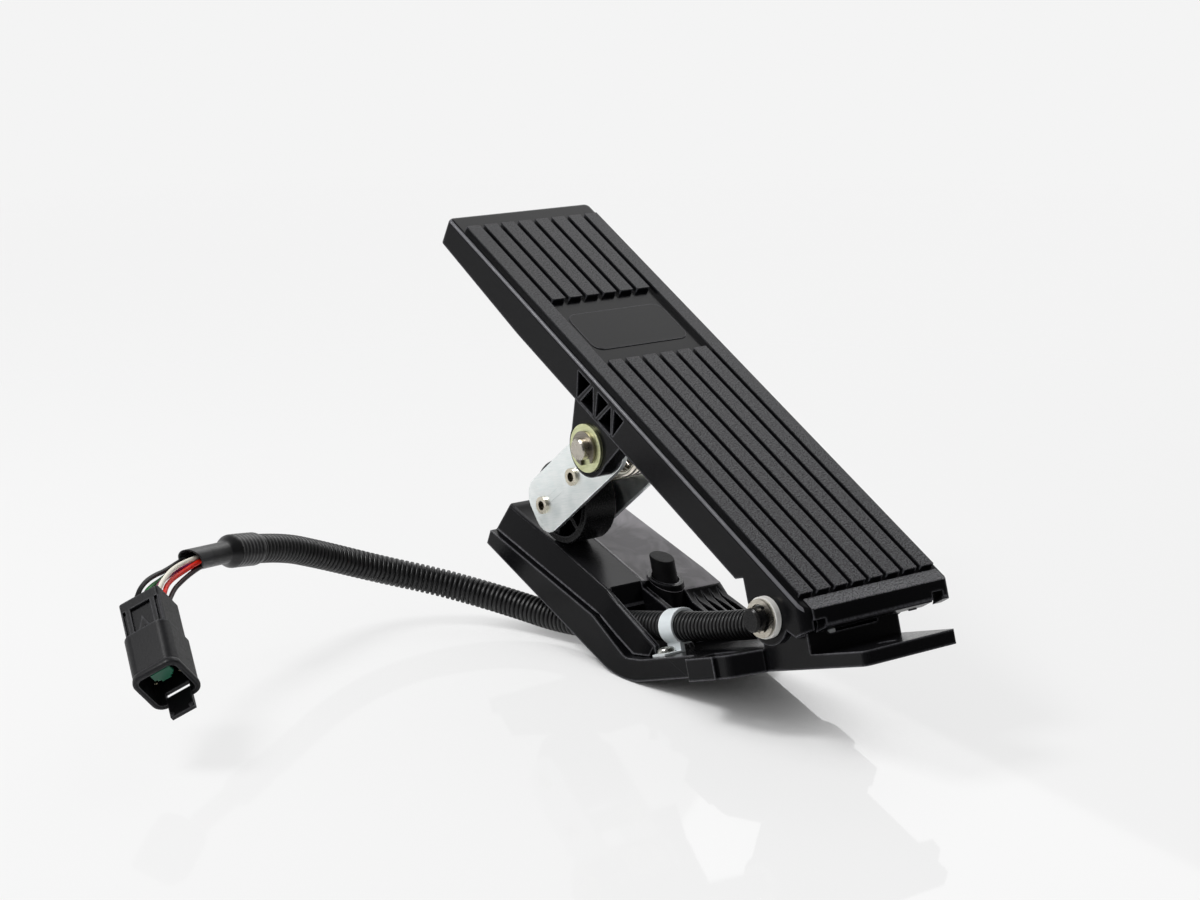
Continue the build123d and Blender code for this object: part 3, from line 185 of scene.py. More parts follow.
base_nylon = moulded_plastic("glass-filled nylon, spark-eroded base", "#09090b", "#0e0e10", "#66666a",
                             grain=0.9, relief=0.014, gloss=(0.17, 0.26), shine=0.1)
DECK_UP = Vector((0, -0.5821, 0.8131))
DECK_WAY = Vector((0, 0.8131, 0.5821))
LANE_START = Vector((0, 85.5, 40))
LANE_LEVEL = -16.05 * MM
LANE_MIDDLE = 0.4 * MM
SMEAR_SIZE = 19 * MM
tree = base_nylon.node_tree
place = add_node(tree, "TexCoord").outputs["Object"]
level = add_node(tree, "VectorMath", {0: place, 1: DECK_UP}, operation="DOT_PRODUCT").outputs["Value"]
on_lane = add_node(tree, "Math", {0: level, 1: LANE_LEVEL, 2: 0.1 * MM}, operation="COMPARE").outputs[0]
side = add_node(tree, "SeparateXYZ", {0: place}).outputs["X"]
right_half = add_node(tree, "Math", {0: side, 1: LANE_MIDDLE}, operation="GREATER_THAN").outputs[0]
# The right half of the lane is painted light grey: grease smears from the roller, lightened as a painted reflection
# of the backdrop.
lane_film_and_reflection = add_node(tree, "Math", {0: on_lane, 1: right_half}, operation="MULTIPLY").outputs[0]
smear = add_node(tree, "TexNoise", {"Vector": place, "Scale": 1 / SMEAR_SIZE, "Detail": 3, "Distortion": 1.6})
smeared = add_node(tree, "MapRange", {"Value": smear.outputs["Fac"], "From Min": 0.44, "From Max": 0.64})
grease_and_reflection = add_node(tree, "MixRGB", {"Fac": smeared.outputs[0], "Color1": srgb("#757276"), "Color2": srgb("#918e92")})
lay_over(base_nylon, lane_film_and_reflection, grease_and_reflection.outputs[0])
left_half = add_node(tree, "Math", {0: on_lane, 1: lane_film_and_reflection}, operation="SUBTRACT").outputs[0]
lay_over(base_nylon, left_half, srgb("#1e1e20"))
finish_node("base", base_nylon, edge=0.8)

# The left wall of the ramp leans out to the flange and is rounded at top and foot; each row is a place along it, with
# the wall's top and foot as (y, z) and how far out its foot stands.
WALL_PLACES = (((147.1, 85.5), (154.5, 75.2), -25.4), ((116.1, 63.3), (122.5, 53.9), -25.4),
               ((85.1, 41.0), (90.5, 32.6), -25.4), ((80.0, 35.4), (85.6, 28.2), -25.2),
               ((72.5, 28.2), (78.0, 20.0), -24.8), ((64.5, 20.6), (70.0, 11.6), -24.0),
               ((58.2, 14.6), (61.0, 9.9), -22.6))
WALL_TOP = -20.2
LEAN = ((-0.14, -0.02), (0.0, 0.03), (0.07, 0.1), (0.87, 0.93), (0.95, 0.985), (1.04, 1.0), (1.2, 0.98), (1.2, 0.0))
wall_rings = []
for (top_y, top_z), (foot_y, foot_z), foot_x in WALL_PLACES:
    wall_rings.append([Vector((foot_x + (WALL_TOP - foot_x) * out, foot_y + (top_y - foot_y) * up,
                               foot_z + (top_z - foot_z) * up)) * MM for out, up in LEAN])
ramp_wall = skin_rings("ramp_left_wall", wall_rings)
# The right half of the lane ends in a low rounded edge over the joint between the two halves.
SEAM = ((-0.62, 0.9), (-0.55, 1.15), (-0.35, 1.36), (0.0, 1.42), (0.45, 1.36), (0.9, 1.22), (0.9, 0.4), (-0.62, 0.4))
seam_rings = []
for run in (0.2, 38.0, 76.5):
    seam_rings.append([(LANE_START + DECK_WAY * run + DECK_UP * up + Vector((out, 0, 0))) * MM for out, up in SEAM])
lane_seam = skin_rings("lane_edge", seam_rings)
# That edge is painted light grey as a painted highlight along the joint.
lane_edge_highlight_nylon = moulded_plastic("glass-filled nylon, lane edge with painted highlight", "#7c7a7e", "#9c9a9e", "#b0aeb2",
                               grain=0.9, relief=0.02, gloss=(0.26, 0.36), shine=0.2, cloud=9)
for piece, skin in ((ramp_wall, base_nylon), (lane_seam, lane_edge_highlight_nylon)):
    piece.data.materials.append(skin)
    even = piece.modifiers.new("even shading", "WEIGHTED_NORMAL")
    even.weight = 100
    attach(piece, "base")

# Rubber stop
# A moulded rubber buffer pushed into the collar of the base; the treadle's foot lands on it. Rubber is dull and
# blooms to a greyish skin.

rubber = moulded_plastic("natural rubber, moulded", "#131314", "#1d1d1f", "#3a3a3b",
                         grain=0.7, relief=0.06, gloss=(0.5, 0.66), shine=0.15, cloud=9)
finish_node("rubber_stop", rubber)

# Sensor case
# The angle sensor sits in a pocket of the hinge block; its case is a smooth glass-filled polyester moulding, and
# the loom leaves it through a short gland.

# A smooth mould leaves a soft, even sheen.
sensor_polyester = moulded_plastic("glass-filled polyester, sensor case", "#121213", "#18181a",
                                   "#3b3b3d", grain=0.6, relief=0.02, gloss=(0.34, 0.46), shine=0.12)
finish_node("sensor_module", sensor_polyester)

# Sensor latch
# The white nylon latch that holds the sensor in its pocket; its hooked tip shows in the left end of the slot in the
# front of the hinge block.

LATCH_TIP = ((-55.9, 0.7), (-55.7, 1.25), (-54.9, 1.5), (-53.2, 1.5), (-53.0, 1.1), (-49.6, 1.1))
LATCH_MIDDLE = (-17.6, 13.9)
LATCH_CORNERS = ((-1.2, -1), (-0.96, -1.15), (0.96, -1.15), (1.2, -1), (1.2, 1), (0.96, 1.15), (-0.96, 1.15),
                 (-1.2, 1))
latch_rings = []
for y, reach in LATCH_TIP:
    latch_rings.append([Vector((LATCH_MIDDLE[0] + reach * x, y, LATCH_MIDDLE[1] + reach * z)) * MM
                        for x, z in LATCH_CORNERS])
sensor_latch = skin_rings("sensor_latch", latch_rings)
# White nylon is milky, with a soft gloss.
latch_nylon = moulded_plastic("white nylon, latch", "#dfe3e4", "#eceff0", "#f2f4f4",
                              grain=0.6, relief=0.01, gloss=(0.3, 0.4), cloud=4)
sensor_latch.data.materials.append(latch_nylon)
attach(sensor_latch, "base")

# Heel hinge
# A black oxided steel pin through the hinge block, nylon bushes in the treadle's ears, and a push-on ring of
# spring steel that grips the pin with three teeth.


STAIN_SIZE = 7
SCORE_DEPTH = 0.01
SCORE_STRETCH = 25


# Drawing lines are under 0.1 mm apart. They are drawn at 0.2 to 0.4 mm, so that they show.
def drawn_metal(name, dull, bright, rough, lines, way):
    """Metal with fine drawing or grinding lines; lines are in mm across and run along way."""
    material, tree, shader = start_material(name)
    place = add_node(tree, "TexCoord").outputs["Object"]
    stretch = [1 / (lines * MM) / (SCORE_STRETCH if axis == way else 1) for axis in "xyz"]
    fine = add_node(tree, "Mapping", {"Vector": place, "Scale": stretch})
    scores = add_node(tree, "TexNoise", {"Vector": fine.outputs[0], "Scale": 1.0, "Detail": 3})
    stain = add_node(tree, "TexNoise", {"Vector": place, "Scale": 1 / (STAIN_SIZE * MM), "Detail": 4})
    tone = add_node(tree, "Math", {0: scores.outputs["Fac"], 1: stain.outputs["Fac"]}, operation="MULTIPLY")
    spread = add_node(tree, "MapRange", {"Value": tone.outputs[0], "From Min": 0.12, "From Max": 0.4})
    colour = add_node(tree, "MixRGB", {"Fac": spread.outputs[0], "Color1": srgb(dull), "Color2": srgb(bright)})
    haze = add_node(tree, "MapRange", {"Value": stain.outputs["Fac"], "From Min": 0.3, "From Max": 0.7,
                                       "To Min": rough[0], "To Max": rough[1]})
    score_bump = add_node(tree, "Bump", {"Height": scores.outputs["Fac"], "Distance": SCORE_DEPTH * MM})
    shader.inputs["Metallic"].default_value = 1
    for socket, output in (("Base Color", colour.outputs[0]), ("Roughness", haze.outputs["Result"]),
                           ("Normal", score_bump.outputs["Normal"])):
        tree.links.new(output, shader.inputs[socket])
    return material


# Oxide leaves the pin almost black with a soft gleam, the nylon is milky, and the nickel on the ring is warm and
# bright.
oxided_steel = moulded_plastic("black oxided steel", "#0f0f10", "#161617", "#4a4845",
                               grain=0.5, relief=0.01, gloss=(0.22, 0.34), shine=0.15, cloud=5)
bush_nylon = moulded_plastic("natural nylon, moulded", "#e2e1dc", "#eceae6", "#f0efec",
                             grain=0.6, relief=0.01, gloss=(0.34, 0.46))
ring_steel = drawn_metal("spring steel ring, nickel plated", "#a8a296", "#cbc6ba",
                         rough=(0.24, 0.34), lines=0.3, way="y")
finish_node("heel_pin", oxided_steel)
finish_node("heel_bush_left", bush_nylon)
finish_node("heel_bush_right", bush_nylon)
finish_node("retaining_ring", ring_steel)

# Treadle
# The foot plate is a black glass-filled nylon moulding with eight ribs; the rib tops are coarsely spark eroded for
# grip. Skirt, ears, lugs and the truss over the left lug are in the same piece. The label place is bare.

# The plate is a satin black, and its rib tops are painted grey as a painted sheen, lighter towards the heel and
# broken by darker pits.
treadle_nylon = moulded_plastic("glass-filled nylon, spark-eroded treadle", "#09090b", "#0e0e10",
                                "#525256", grain=0.9, relief=0.014, gloss=(0.17, 0.26), shine=0.1)
# The grip texture is pitted at 0.3 mm; it is drawn at 0.6 mm so that it shows.
TREAD_UP = (0, -0.70711, 0.70711)
TREAD_WAY = (0, 0.70711, 0.70711)
RIB_LEVEL = 66.19 * MM
HEEL_STRIP_LEVEL = 64.49 * MM
HEEL_EDGE = -29 * MM
SHEEN_END = 213.5 * MM
STRIP_END = -23 * MM
PIT_SIZE = 0.6 * MM
PIT_DEPTH = 0.1 * MM
tree = treadle_nylon.node_tree
shader = tree.nodes["Principled BSDF"]
place = add_node(tree, "TexCoord").outputs["Object"]
level = add_node(tree, "VectorMath", {0: place, 1: TREAD_UP}, operation="DOT_PRODUCT").outputs["Value"]
on_ribs = add_node(tree, "Math", {0: level, 1: RIB_LEVEL, 2: 0.3 * MM}, operation="COMPARE").outputs[0]
on_strip = add_node(tree, "Math", {0: level, 1: HEEL_STRIP_LEVEL, 2: 0.25 * MM}, operation="COMPARE").outputs[0]
along = add_node(tree, "VectorMath", {0: place, 1: TREAD_WAY}, operation="DOT_PRODUCT").outputs["Value"]
from_heel = add_node(tree, "MapRange", {"Value": along, "From Min": HEEL_EDGE, "From Max": SHEEN_END})
heel_end = add_node(tree, "Math", {0: along, 1: STRIP_END}, operation="LESS_THAN").outputs[0]
strip_top = add_node(tree, "Math", {0: on_strip, 1: heel_end}, operation="MULTIPLY").outputs[0]
rib_and_strip_tops = add_node(tree, "Math", {0: on_ribs, 1: strip_top}, operation="MAXIMUM").outputs[0]
pits = add_node(tree, "TexNoise", {"Vector": place, "Scale": 1 / PIT_SIZE, "Detail": 2, "Roughness": 0.7})
pitted = add_node(tree, "MapRange", {"Value": pits.outputs["Fac"], "From Min": 0.38, "From Max": 0.62})
# Painted sheen on the rib tops: lighter grey at the heel, darker towards the toe.
painted_rib_sheen = add_node(tree, "MixRGB", {"Fac": from_heel.outputs[0], "Color1": srgb("#57575a"), "Color2": srgb("#38383b")})
grip = add_node(tree, "MixRGB", {"Fac": pitted.outputs[0], "Color1": srgb("#202022"), "Color2": painted_rib_sheen.outputs[0]})
lay_over(treadle_nylon, rib_and_strip_tops, grip.outputs[0])
scuffed = add_node(tree, "MixRGB", {"Fac": pitted.outputs[0], "Color1": srgb("#323234"), "Color2": srgb("#78787b")})
lay_over(treadle_nylon, strip_top, scuffed.outputs[0])
# The rounded side edges of the plate are painted grey as a broad painted highlight.
EDGE_LEVEL = 63.25 * MM
EDGE_START = 38.3 * MM
across = add_node(tree, "SeparateXYZ", {0: place}).outputs["X"]
out = add_node(tree, "Math", {0: across}, operation="ABSOLUTE").outputs[0]
at_side = add_node(tree, "Math", {0: out, 1: EDGE_START}, operation="GREATER_THAN").outputs[0]
at_edge = add_node(tree, "Math", {0: level, 1: EDGE_LEVEL, 2: 0.55 * MM}, operation="COMPARE").outputs[0]
rounded = add_node(tree, "Math", {0: at_side, 1: at_edge}, operation="MULTIPLY").outputs[0]
lay_over(treadle_nylon, rounded, srgb("#5e5e62"))
depth = add_node(tree, "Math", {0: pits.outputs["Fac"], 1: rib_and_strip_tops}, operation="MULTIPLY").outputs[0]
under = shader.inputs["Normal"].links[0].from_socket
pit_bump = add_node(tree, "Bump", {"Height": depth, "Distance": PIT_DEPTH, "Normal": under})
tree.links.new(pit_bump.outputs["Normal"], shader.inputs["Normal"])
finish_node("treadle", treadle_nylon, edge=0.5)

# Pivot of the roller arm
# A bright steel pin through both lugs, with a yellow passivated washer and an E-clip at its left end and nylon
# thrust washers beside the arm.

# Turned steel is bright with fine lines, the passivated washer a pale yellow green, and the phosphated clip a dull
# grey.
pin_steel = drawn_metal("turned steel pin", "#9c968b", "#dcd7cd", rough=(0.24, 0.36), lines=0.25, way="x")
yellow_zinc = drawn_metal("yellow passivated zinc", "#c6c998", "#e2e5bd", rough=(0.34, 0.48), lines=0.3, way="y")
clip_steel = drawn_metal("phosphated spring steel", "#6b675f", "#a39c90", rough=(0.3, 0.42), lines=0.3, way="y")
finish_node("pivot_pin", pin_steel)
finish_node("side_washer", yellow_zinc)
finish_node("pivot_clip", clip_steel)
finish_node("thrust_washer_left", bush_nylon)
finish_node("thrust_washer_right", bush_nylon)

# Roller arm
# Two pressed steel plates, zinc plated with a clear bluish passivation, joined by a spacer and an axle that are
# hollow brass-coated rivets.

# The plating is pale and bluish with an even gleam; the rivets are warmer, and brown inside their bores.
plate_zinc = drawn_metal("clear passivated zinc on steel", "#e9f0ef", "#fafdfc",
                         rough=(0.3, 0.4), lines=0.35, way="y")
rivet_brass = drawn_metal("brassed steel rivet", "#b9b2a0", "#e6e0d0", rough=(0.2, 0.32), lines=0.25, way="x")
tree = rivet_brass.node_tree
deep = add_node(tree, "AmbientOcclusion", {"Distance": 3 * MM}, only_local=True, samples=8)
bore = add_node(tree, "MapRange", {"Value": deep.outputs["AO"], "From Min": 0.75, "From Max": 0.35})
lay_over(rivet_brass, bore.outputs[0], srgb("#8a6a3a"))
plated = add_node(tree, "Math", {0: 1.0, 1: bore.outputs[0]}, operation="SUBTRACT")
tree.links.new(plated.outputs[0], tree.nodes["Principled BSDF"].inputs["Metallic"])
finish_node("arm_plate_left", plate_zinc, edge=0.3)
finish_node("arm_plate_right", plate_zinc, edge=0.3)
finish_node("cross_spacer", rivet_brass)
finish_node("roller_axle", rivet_brass)
finish_node("pivot_sleeve", plate_zinc)

# Roller
# A black nylon roller with a hub, web and spokes; it comes from a polished mould, so it is glossy, and running has
# polished its tread.

roller_nylon = moulded_plastic("nylon, polished roller", "#0e0e0f", "#141415", "#38383a",
                               grain=0.7, relief=0.01, gloss=(0.22, 0.32), shine=0.15, cloud=20)
finish_node("roller", roller_nylon)

# Torsion spring
# Drawn spring wire coiled round the pivot; one leg bears on the cross spacer and one under the tread, so the coil
# winds up between the arm and the treadle.

PIVOT = Vector((-12.0, 55.834, 103.484)) * MM
WIRE_RADIUS = 1.4 * MM
COIL_RADIUS = 14.0 * MM
COIL_PITCH = 3.2 * MM
COIL_TURNS = 7
ARM_LEG_ANGLE = math.radians(-35.46)
TREAD_LEG_ANGLE = math.radians(110)
LEG_LENGTHS = (31 * MM, 33 * MM)


def tube_rings(path, radii, around):
    """Rings of points round a path, with one radius for each point of it."""
    points = [Vector(point) for point in path]
    side = None
    rings = []
    for index, (point, radius) in enumerate(zip(points, radii)):
        way = (points[min(index + 1, len(points) - 1)] - points[max(index - 1, 0)]).normalized()
        side = way.orthogonal() if side is None else side - way * side.dot(way)
        side.normalize()
        other = way.cross(side)
        turns = [2 * math.pi * step / around for step in range(around)]
        rings.append([point + radius * (math.cos(turn) * side + math.sin(turn) * other) for turn in turns])
    return rings


first = ARM_LEG_ANGLE + math.pi / 2
last = TREAD_LEG_ANGLE - math.pi / 2 + COIL_TURNS * 2 * math.pi
coil_length = (last - first) / (2 * math.pi) * COIL_PITCH
STEPS = COIL_TURNS * 48
coil = []
for step in range(STEPS + 1):
    turn = first + (last - first) * step / STEPS
    across = coil_length * (step / STEPS - 0.5)
    coil.append(PIVOT + Vector((across, COIL_RADIUS * math.cos(turn), COIL_RADIUS * math.sin(turn))))
arm_way = (coil[0] - coil[1]).normalized()
tread_way = (coil[-1] - coil[-2]).normalized()
wire = [coil[0] + arm_way * LEG_LENGTHS[0] * share for share in (1, 0.985, 0.6, 0.2)]
wire += coil
wire += [coil[-1] + tread_way * LEG_LENGTHS[1] * share for share in (0.2, 0.6, 0.985, 1)]
wire_radii = [WIRE_RADIUS] * len(wire)
wire_radii[0] = wire_radii[-1] = WIRE_RADIUS * 0.75
spring = skin_rings("torsion_spring_wire", tube_rings(wire, wire_radii, around=20))
# Drawing leaves the wire bright and smooth, so each turn carries a thin line of light.
spring_steel = drawn_metal("drawn spring wire", "#d3ccbe", "#f4efe5", rough=(0.16, 0.26), lines=0.3, way="x")
spring.data.materials.append(spring_steel)
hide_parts("torsion_spring")
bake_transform(spring)

# Loom
# A split corrugated tube of black polypropylene over six wires: flat-topped ridges with narrow grooves between
# them. It leaves the sensor under the heel and holds its own sweep in the air.

LOOM_ROUTE = [(-10, -20, 18), (-10, 16, 18), (-10.4, 53, 20.5), (-11.2, 90, 23.6), (-15.5, 124, 27.6),
              (-27, 156, 42), (-46, 177, 55.4), (-72, 188, 67), (-100, 187.5, 78), (-129.5, 176.4, 86.2),
              (-159, 163.4, 87.4)]
LOOM_RADIUS = 6.5
GROOVE_DEPTH = 0.95
RIDGE_PITCH = 2.45


def smooth_line(name, route):
    """A curve object without thickness along a route in mm, as one smooth spline."""
    data = bpy.data.curves.new(name, "CURVE")
    data.dimensions = "3D"
    data.resolution_u = 24
    spline = data.splines.new("NURBS")
    spline.points.add(len(route) - 1)
    for point, place in zip(spline.points, route):
        point.co = (*[value * MM for value in place], 1)
    spline.order_u = 3
    spline.use_endpoint_u = True
    line = bpy.data.objects.new(name, data)
    bpy.context.scene.collection.objects.link(line)
    return line


def points_of(line):
    """The points of a smooth line, as Blender draws it."""
    drawn = bpy.data.meshes.new_from_object(line)
    points = [vertex.co.copy() for vertex in drawn.vertices]
    bpy.data.meshes.remove(drawn)
    return points


def at_length(points, distance):
    """The point at a distance along a row of points."""
    for start, end in zip(points, points[1:]):
        run = (end - start).length
        if distance <= run:
            return start.lerp(end, distance / run)
        distance -= run
    return points[-1]


route_line = smooth_line("loom route", LOOM_ROUTE)
loom_points = points_of(route_line)
bpy.data.objects.remove(route_line)
loom_length = sum((end - start).length for start, end in zip(loom_points, loom_points[1:]))
ridges = round(loom_length / (RIDGE_PITCH * MM))
PROFILE = ((0.0, 1.0), (0.1, 0.97), (0.16, 0.55), (0.24, 0.12), (0.36, 0.0), (0.5, 0.0), (0.64, 0.0), (0.76, 0.12),
           (0.84, 0.55), (0.9, 0.97))
rings = [((ridge + share) / ridges, depth) for ridge in range(ridges) for share, depth in PROFILE] + [(1.0, 1.0)]
path = [at_length(loom_points, share * loom_length) for share, depth in rings]
radii = [(LOOM_RADIUS - GROOVE_DEPTH * depth) * MM for share, depth in rings]
loom = skin_rings("loom_tube", tube_rings(path, radii, around=40))
# The plastic is smooth and deep black, and each ridge carries a line of light.
loom_plastic = moulded_plastic("polypropylene, corrugated", "#0e0e0f", "#141415", "#2c2c2e",
                               grain=0.8, relief=0.01, gloss=(0.4, 0.5), shine=0.5, cloud=15)
loom.data.materials.append(loom_plastic)
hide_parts("loom")
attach(loom, "base")

# Loom clip
# A white nylon P-clip is bent round the loom and held to the heel plate by a pan-head screw with a cross recess. The
# screw is pressed from steel wire and zinc plated.

# Nylon is milky with a soft gloss; the zinc is bright, and the cross recess is painted dark as painted shade.
clip_nylon = moulded_plastic("white nylon, moulded", "#d9e2e6", "#e9eff1", "#f2f5f6",
                             grain=0.6, relief=0.01, gloss=(0.3, 0.4))
finish_node("loom_clip", clip_nylon, edge=0.25)
SCREW_PLACE = Vector((-19.5, 52.0, 10.5)) * MM
SCREW_HEAD = ((0.0, 2.6), (0.5, 2.6), (1.0, 2.58), (1.4, 2.54), (1.8, 2.5), (2.2, 2.43), (2.6, 2.32), (3.0, 2.15),
              (3.4, 1.88), (3.7, 1.5), (3.9, 1.0), (4.0, 0.4), (4.0, 0.0), (2.0, -0.02), (2.0, -7.0))
SCREW_SIDES = 96
SCREW_TIP = 0.02
CROSS_FLOOR = 2.2
CROSS_REACH = 2.5
CROSS_HALF_WIDTH = 0.5
CROSS_DEPTH = 1.3
CROSS_TAPER = 3.2
screw_rings = []
for radius, height in SCREW_HEAD:
    ring = []
    for step in range(SCREW_SIDES):
        turn = 2 * math.pi * step / SCREW_SIDES
        x = max(radius, SCREW_TIP) * math.cos(turn)
        y = max(radius, SCREW_TIP) * math.sin(turn)
        crossed = height > CROSS_FLOOR and radius < CROSS_REACH and min(abs(x), abs(y)) < CROSS_HALF_WIDTH
        drop = CROSS_DEPTH * (1 - radius / CROSS_TAPER) if crossed else 0.0
        ring.append(SCREW_PLACE + Vector((x, y, height - drop)) * MM)
    screw_rings.append(ring)
screw = skin_rings("clip_screw_head", [list(reversed(ring)) for ring in screw_rings])
screw_zinc = drawn_metal("bright zinc on a pressed screw", "#b3b4ae", "#e2e3de",
                         rough=(0.24, 0.36), lines=0.4, way="z")
tree = screw_zinc.node_tree
# Painted shade: the cross recess is darkened where occlusion finds it.
deep = add_node(tree, "AmbientOcclusion", {"Distance": 1.2 * MM}, only_local=True, samples=8)
recess = add_node(tree, "MapRange", {"Value": deep.outputs["AO"], "From Min": 0.8, "From Max": 0.45})
lay_over(screw_zinc, recess.outputs[0], srgb("#3a3833"))
screw.data.materials.append(screw_zinc)
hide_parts("clip_screw")
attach(screw, "base")

# Shrink sleeve
# Black polyolefin tube shrunk over the end of the loom and necked down on the wires, cut off at a slant. The
# corrugations of the loom show through it as faint rings, and shrinking leaves a satin skin.

NECK_END = Vector((-186, 149.5, 86.8)) * MM
SLEEVE_RADIUS = 7.4
GRIP_LENGTH = 17.0
CONE_LENGTH = 6.0
NECK_RADIUS = 4.9
NECK_BORE = 4.1
BORE_DEPTH = 10.0
NECK_SLANT = 0.7
RING_RIPPLE = 0.14
SLEEVE_SIDES = 48
SLANT_UP = Vector((-0.167, 0.284, 0.944))
loom_end = loom_points[-1]
neck_way = (NECK_END - loom_end).normalized()
neck_length = (NECK_END - loom_end).length
sleeve_path = []
sleeve_radii = []
GRIP_STEPS = 70
for step in range(GRIP_STEPS + 1):
    back = GRIP_LENGTH * (1 - step / GRIP_STEPS)
    wave = 0.5 - 0.5 * math.cos(2 * math.pi * back / RIDGE_PITCH)
    soft = min(1, (GRIP_LENGTH - back) / 1.2)
    sleeve_path.append(at_length(loom_points, loom_length - back * MM))
    sleeve_radii.append((SLEEVE_RADIUS - RING_RIPPLE * wave - 0.5 * (1 - soft) ** 2) * MM)
for share in (0.12, 0.3, 0.5, 0.7, 0.88, 1.0):
    ease = share * share * (3 - 2 * share)
    sleeve_path.append(loom_end + neck_way * CONE_LENGTH * share * MM)
    sleeve_radii.append((SLEEVE_RADIUS + (NECK_RADIUS - SLEEVE_RADIUS) * ease) * MM)
for share in (0.35, 0.65, 0.98, 1.0):
    sleeve_path.append(loom_end + neck_way * (CONE_LENGTH * MM + (neck_length - CONE_LENGTH * MM) * share))
    sleeve_radii.append(NECK_RADIUS * MM)
sleeve_rings = tube_rings(sleeve_path, sleeve_radii, around=SLEEVE_SIDES)
hem = sum(sleeve_rings[0], Vector()) / SLEEVE_SIDES
sleeve_rings.insert(0, [hem + (point - hem) * 0.8 for point in sleeve_rings[0]])
neck_up = (SLANT_UP - neck_way * neck_way.dot(SLANT_UP)).normalized()
lip = sleeve_rings[-1]
bore_lip = [NECK_END + (point - NECK_END) * NECK_BORE / NECK_RADIUS for point in lip]
mouth = [point + neck_way * NECK_SLANT * (point - NECK_END).dot(neck_up) for point in lip]
bore_mouth = [point + neck_way * NECK_SLANT * (point - NECK_END).dot(neck_up) for point in bore_lip]
edge = [outer.lerp(inner, 0.5) + neck_way * 0.15 * MM for outer, inner in zip(mouth, bore_mouth)]
sleeve_rings[-2] = [point - neck_way * 0.3 * MM for point in mouth]
sleeve_rings[-1] = mouth
sleeve_rings += [edge, bore_mouth, [point - neck_way * BORE_DEPTH * MM for point in bore_lip]]
sleeve = skin_rings("shrink_sleeve_skin", sleeve_rings)
shrink_polyolefin = moulded_plastic("shrunk polyolefin", "#101011", "#161618", "#2c2c2e",
                                    grain=1.2, relief=0.02, gloss=(0.32, 0.44), shine=0.36, cloud=10)
sleeve.data.materials.append(shrink_polyolefin)
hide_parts("shrink_sleeve")
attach(sleeve, "base")

# Connector
# A six-way sealed connector: a dark grey glass-filled nylon shell with an open shroud and a latch tongue, a green
# wedge that locks the contacts, and tin-plated pins.

# The shell is a satin dark grey, the wedge a deep green, and the tin a pale, warm grey.
connector_nylon = moulded_plastic("glass-filled nylon, connector", "#121214", "#1a1a1c", "#424245",
                                  grain=0.9, relief=0.05, gloss=(0.36, 0.5), shine=0.17)
wedge_plastic = moulded_plastic("green polyester wedge", "#0f4a38", "#176148", "#1d6a4e",
                                grain=0.6, relief=0.01, gloss=(0.3, 0.4), cloud=6)
pin_brass = drawn_metal("tinned brass contact", "#a49a7c", "#d8cfb4", rough=(0.22, 0.34), lines=0.2, way="z")
finish_node("connector_housing", connector_nylon, edge=0.6)
terminals = [nodes[f"terminal_{number}"] for number in range(1, 7)]
for terminal in terminals:
    finish_node(terminal.name, pin_brass)

MOUTH = Vector((-237.1, 90.3, 40.0)) * MM
MOUTH_WAY = Vector((-0.285, -0.648, -0.706)).normalized()
MOUTH_LEAN = Vector((0.689, -0.652, 0.318))
MOUTH_ACROSS = (MOUTH_LEAN - MOUTH_WAY * MOUTH_WAY.dot(MOUTH_LEAN)).normalized()
MOUTH_UP = MOUTH_WAY.cross(MOUTH_ACROSS)
MOUTH_SIZE = (20.7, 22.5)
MOUTH_CORNER = 4.6


def in_connector(x, y, z):
    """A point given in mm across the connector's mouth, up it and out of it."""
    return MOUTH + (MOUTH_ACROSS * x + MOUTH_UP * y + MOUTH_WAY * z) * MM


def rounded_mouth(grow, z):
    """The outline of the connector's mouth, grown by some mm, as points at a distance out of it."""
    points = []
    for quarter, (side, up) in enumerate(((1, 1), (-1, 1), (-1, -1), (1, -1))):
        for step in range(9):
            turn = math.pi / 2 * (quarter + step / 8)
            x = side * (MOUTH_SIZE[0] / 2 - MOUTH_CORNER) + (MOUTH_CORNER + grow) * math.cos(turn)
            y = up * (MOUTH_SIZE[1] / 2 - MOUTH_CORNER) + (MOUTH_CORNER + grow) * math.sin(turn)
            points.append(in_connector(x, y, z))
    return points


LIP = ((-0.3, -3.2), (0.05, -2.9), (0.35, -2.0), (0.5, -0.8), (0.42, -0.1), (0.1, 0.25), (-0.5, 0.3), (-1.1, 0.2),
       (-1.6, -0.2), (-1.9, -1.4), (-1.2, -2.4))
WEDGE = ((-4.6, 4.2), (-4.6, 0.4), (-3.5, 0.4), (-3.5, -0.7), (-2.2, -0.7), (-2.2, -1.9), (2.2, -1.9), (2.2, -0.7),
         (3.5, -0.7), (3.5, 0.4), (4.6, 0.4), (4.6, 4.2))
HOOK = (((0.5, 8.0), (0.2, 7.2), (0.8, 7.2), -31.5), ((0.5, 9.5), (-3.2, 7.2), (3.6, 7.2), -24.8),
        ((0.5, 9.1), (-3.2, 7.2), (3.6, 7.2), -24.0))
lip_piece = skin_rings("connector_lip", [rounded_mouth(grow, z) for grow, z in LIP], hollow=True)
hook_piece = skin_rings("connector_hook", [[in_connector(x, y, row[3]) for x, y in row[:3]] for row in HOOK])
PIP_DOME = ((0.95, -0.3), (0.95, 0.25), (0.8, 0.55), (0.45, 0.75), (0.1, 0.8))
PIP_PLACE = (4.3, -9.25, 6.3)
tongue_pips = []
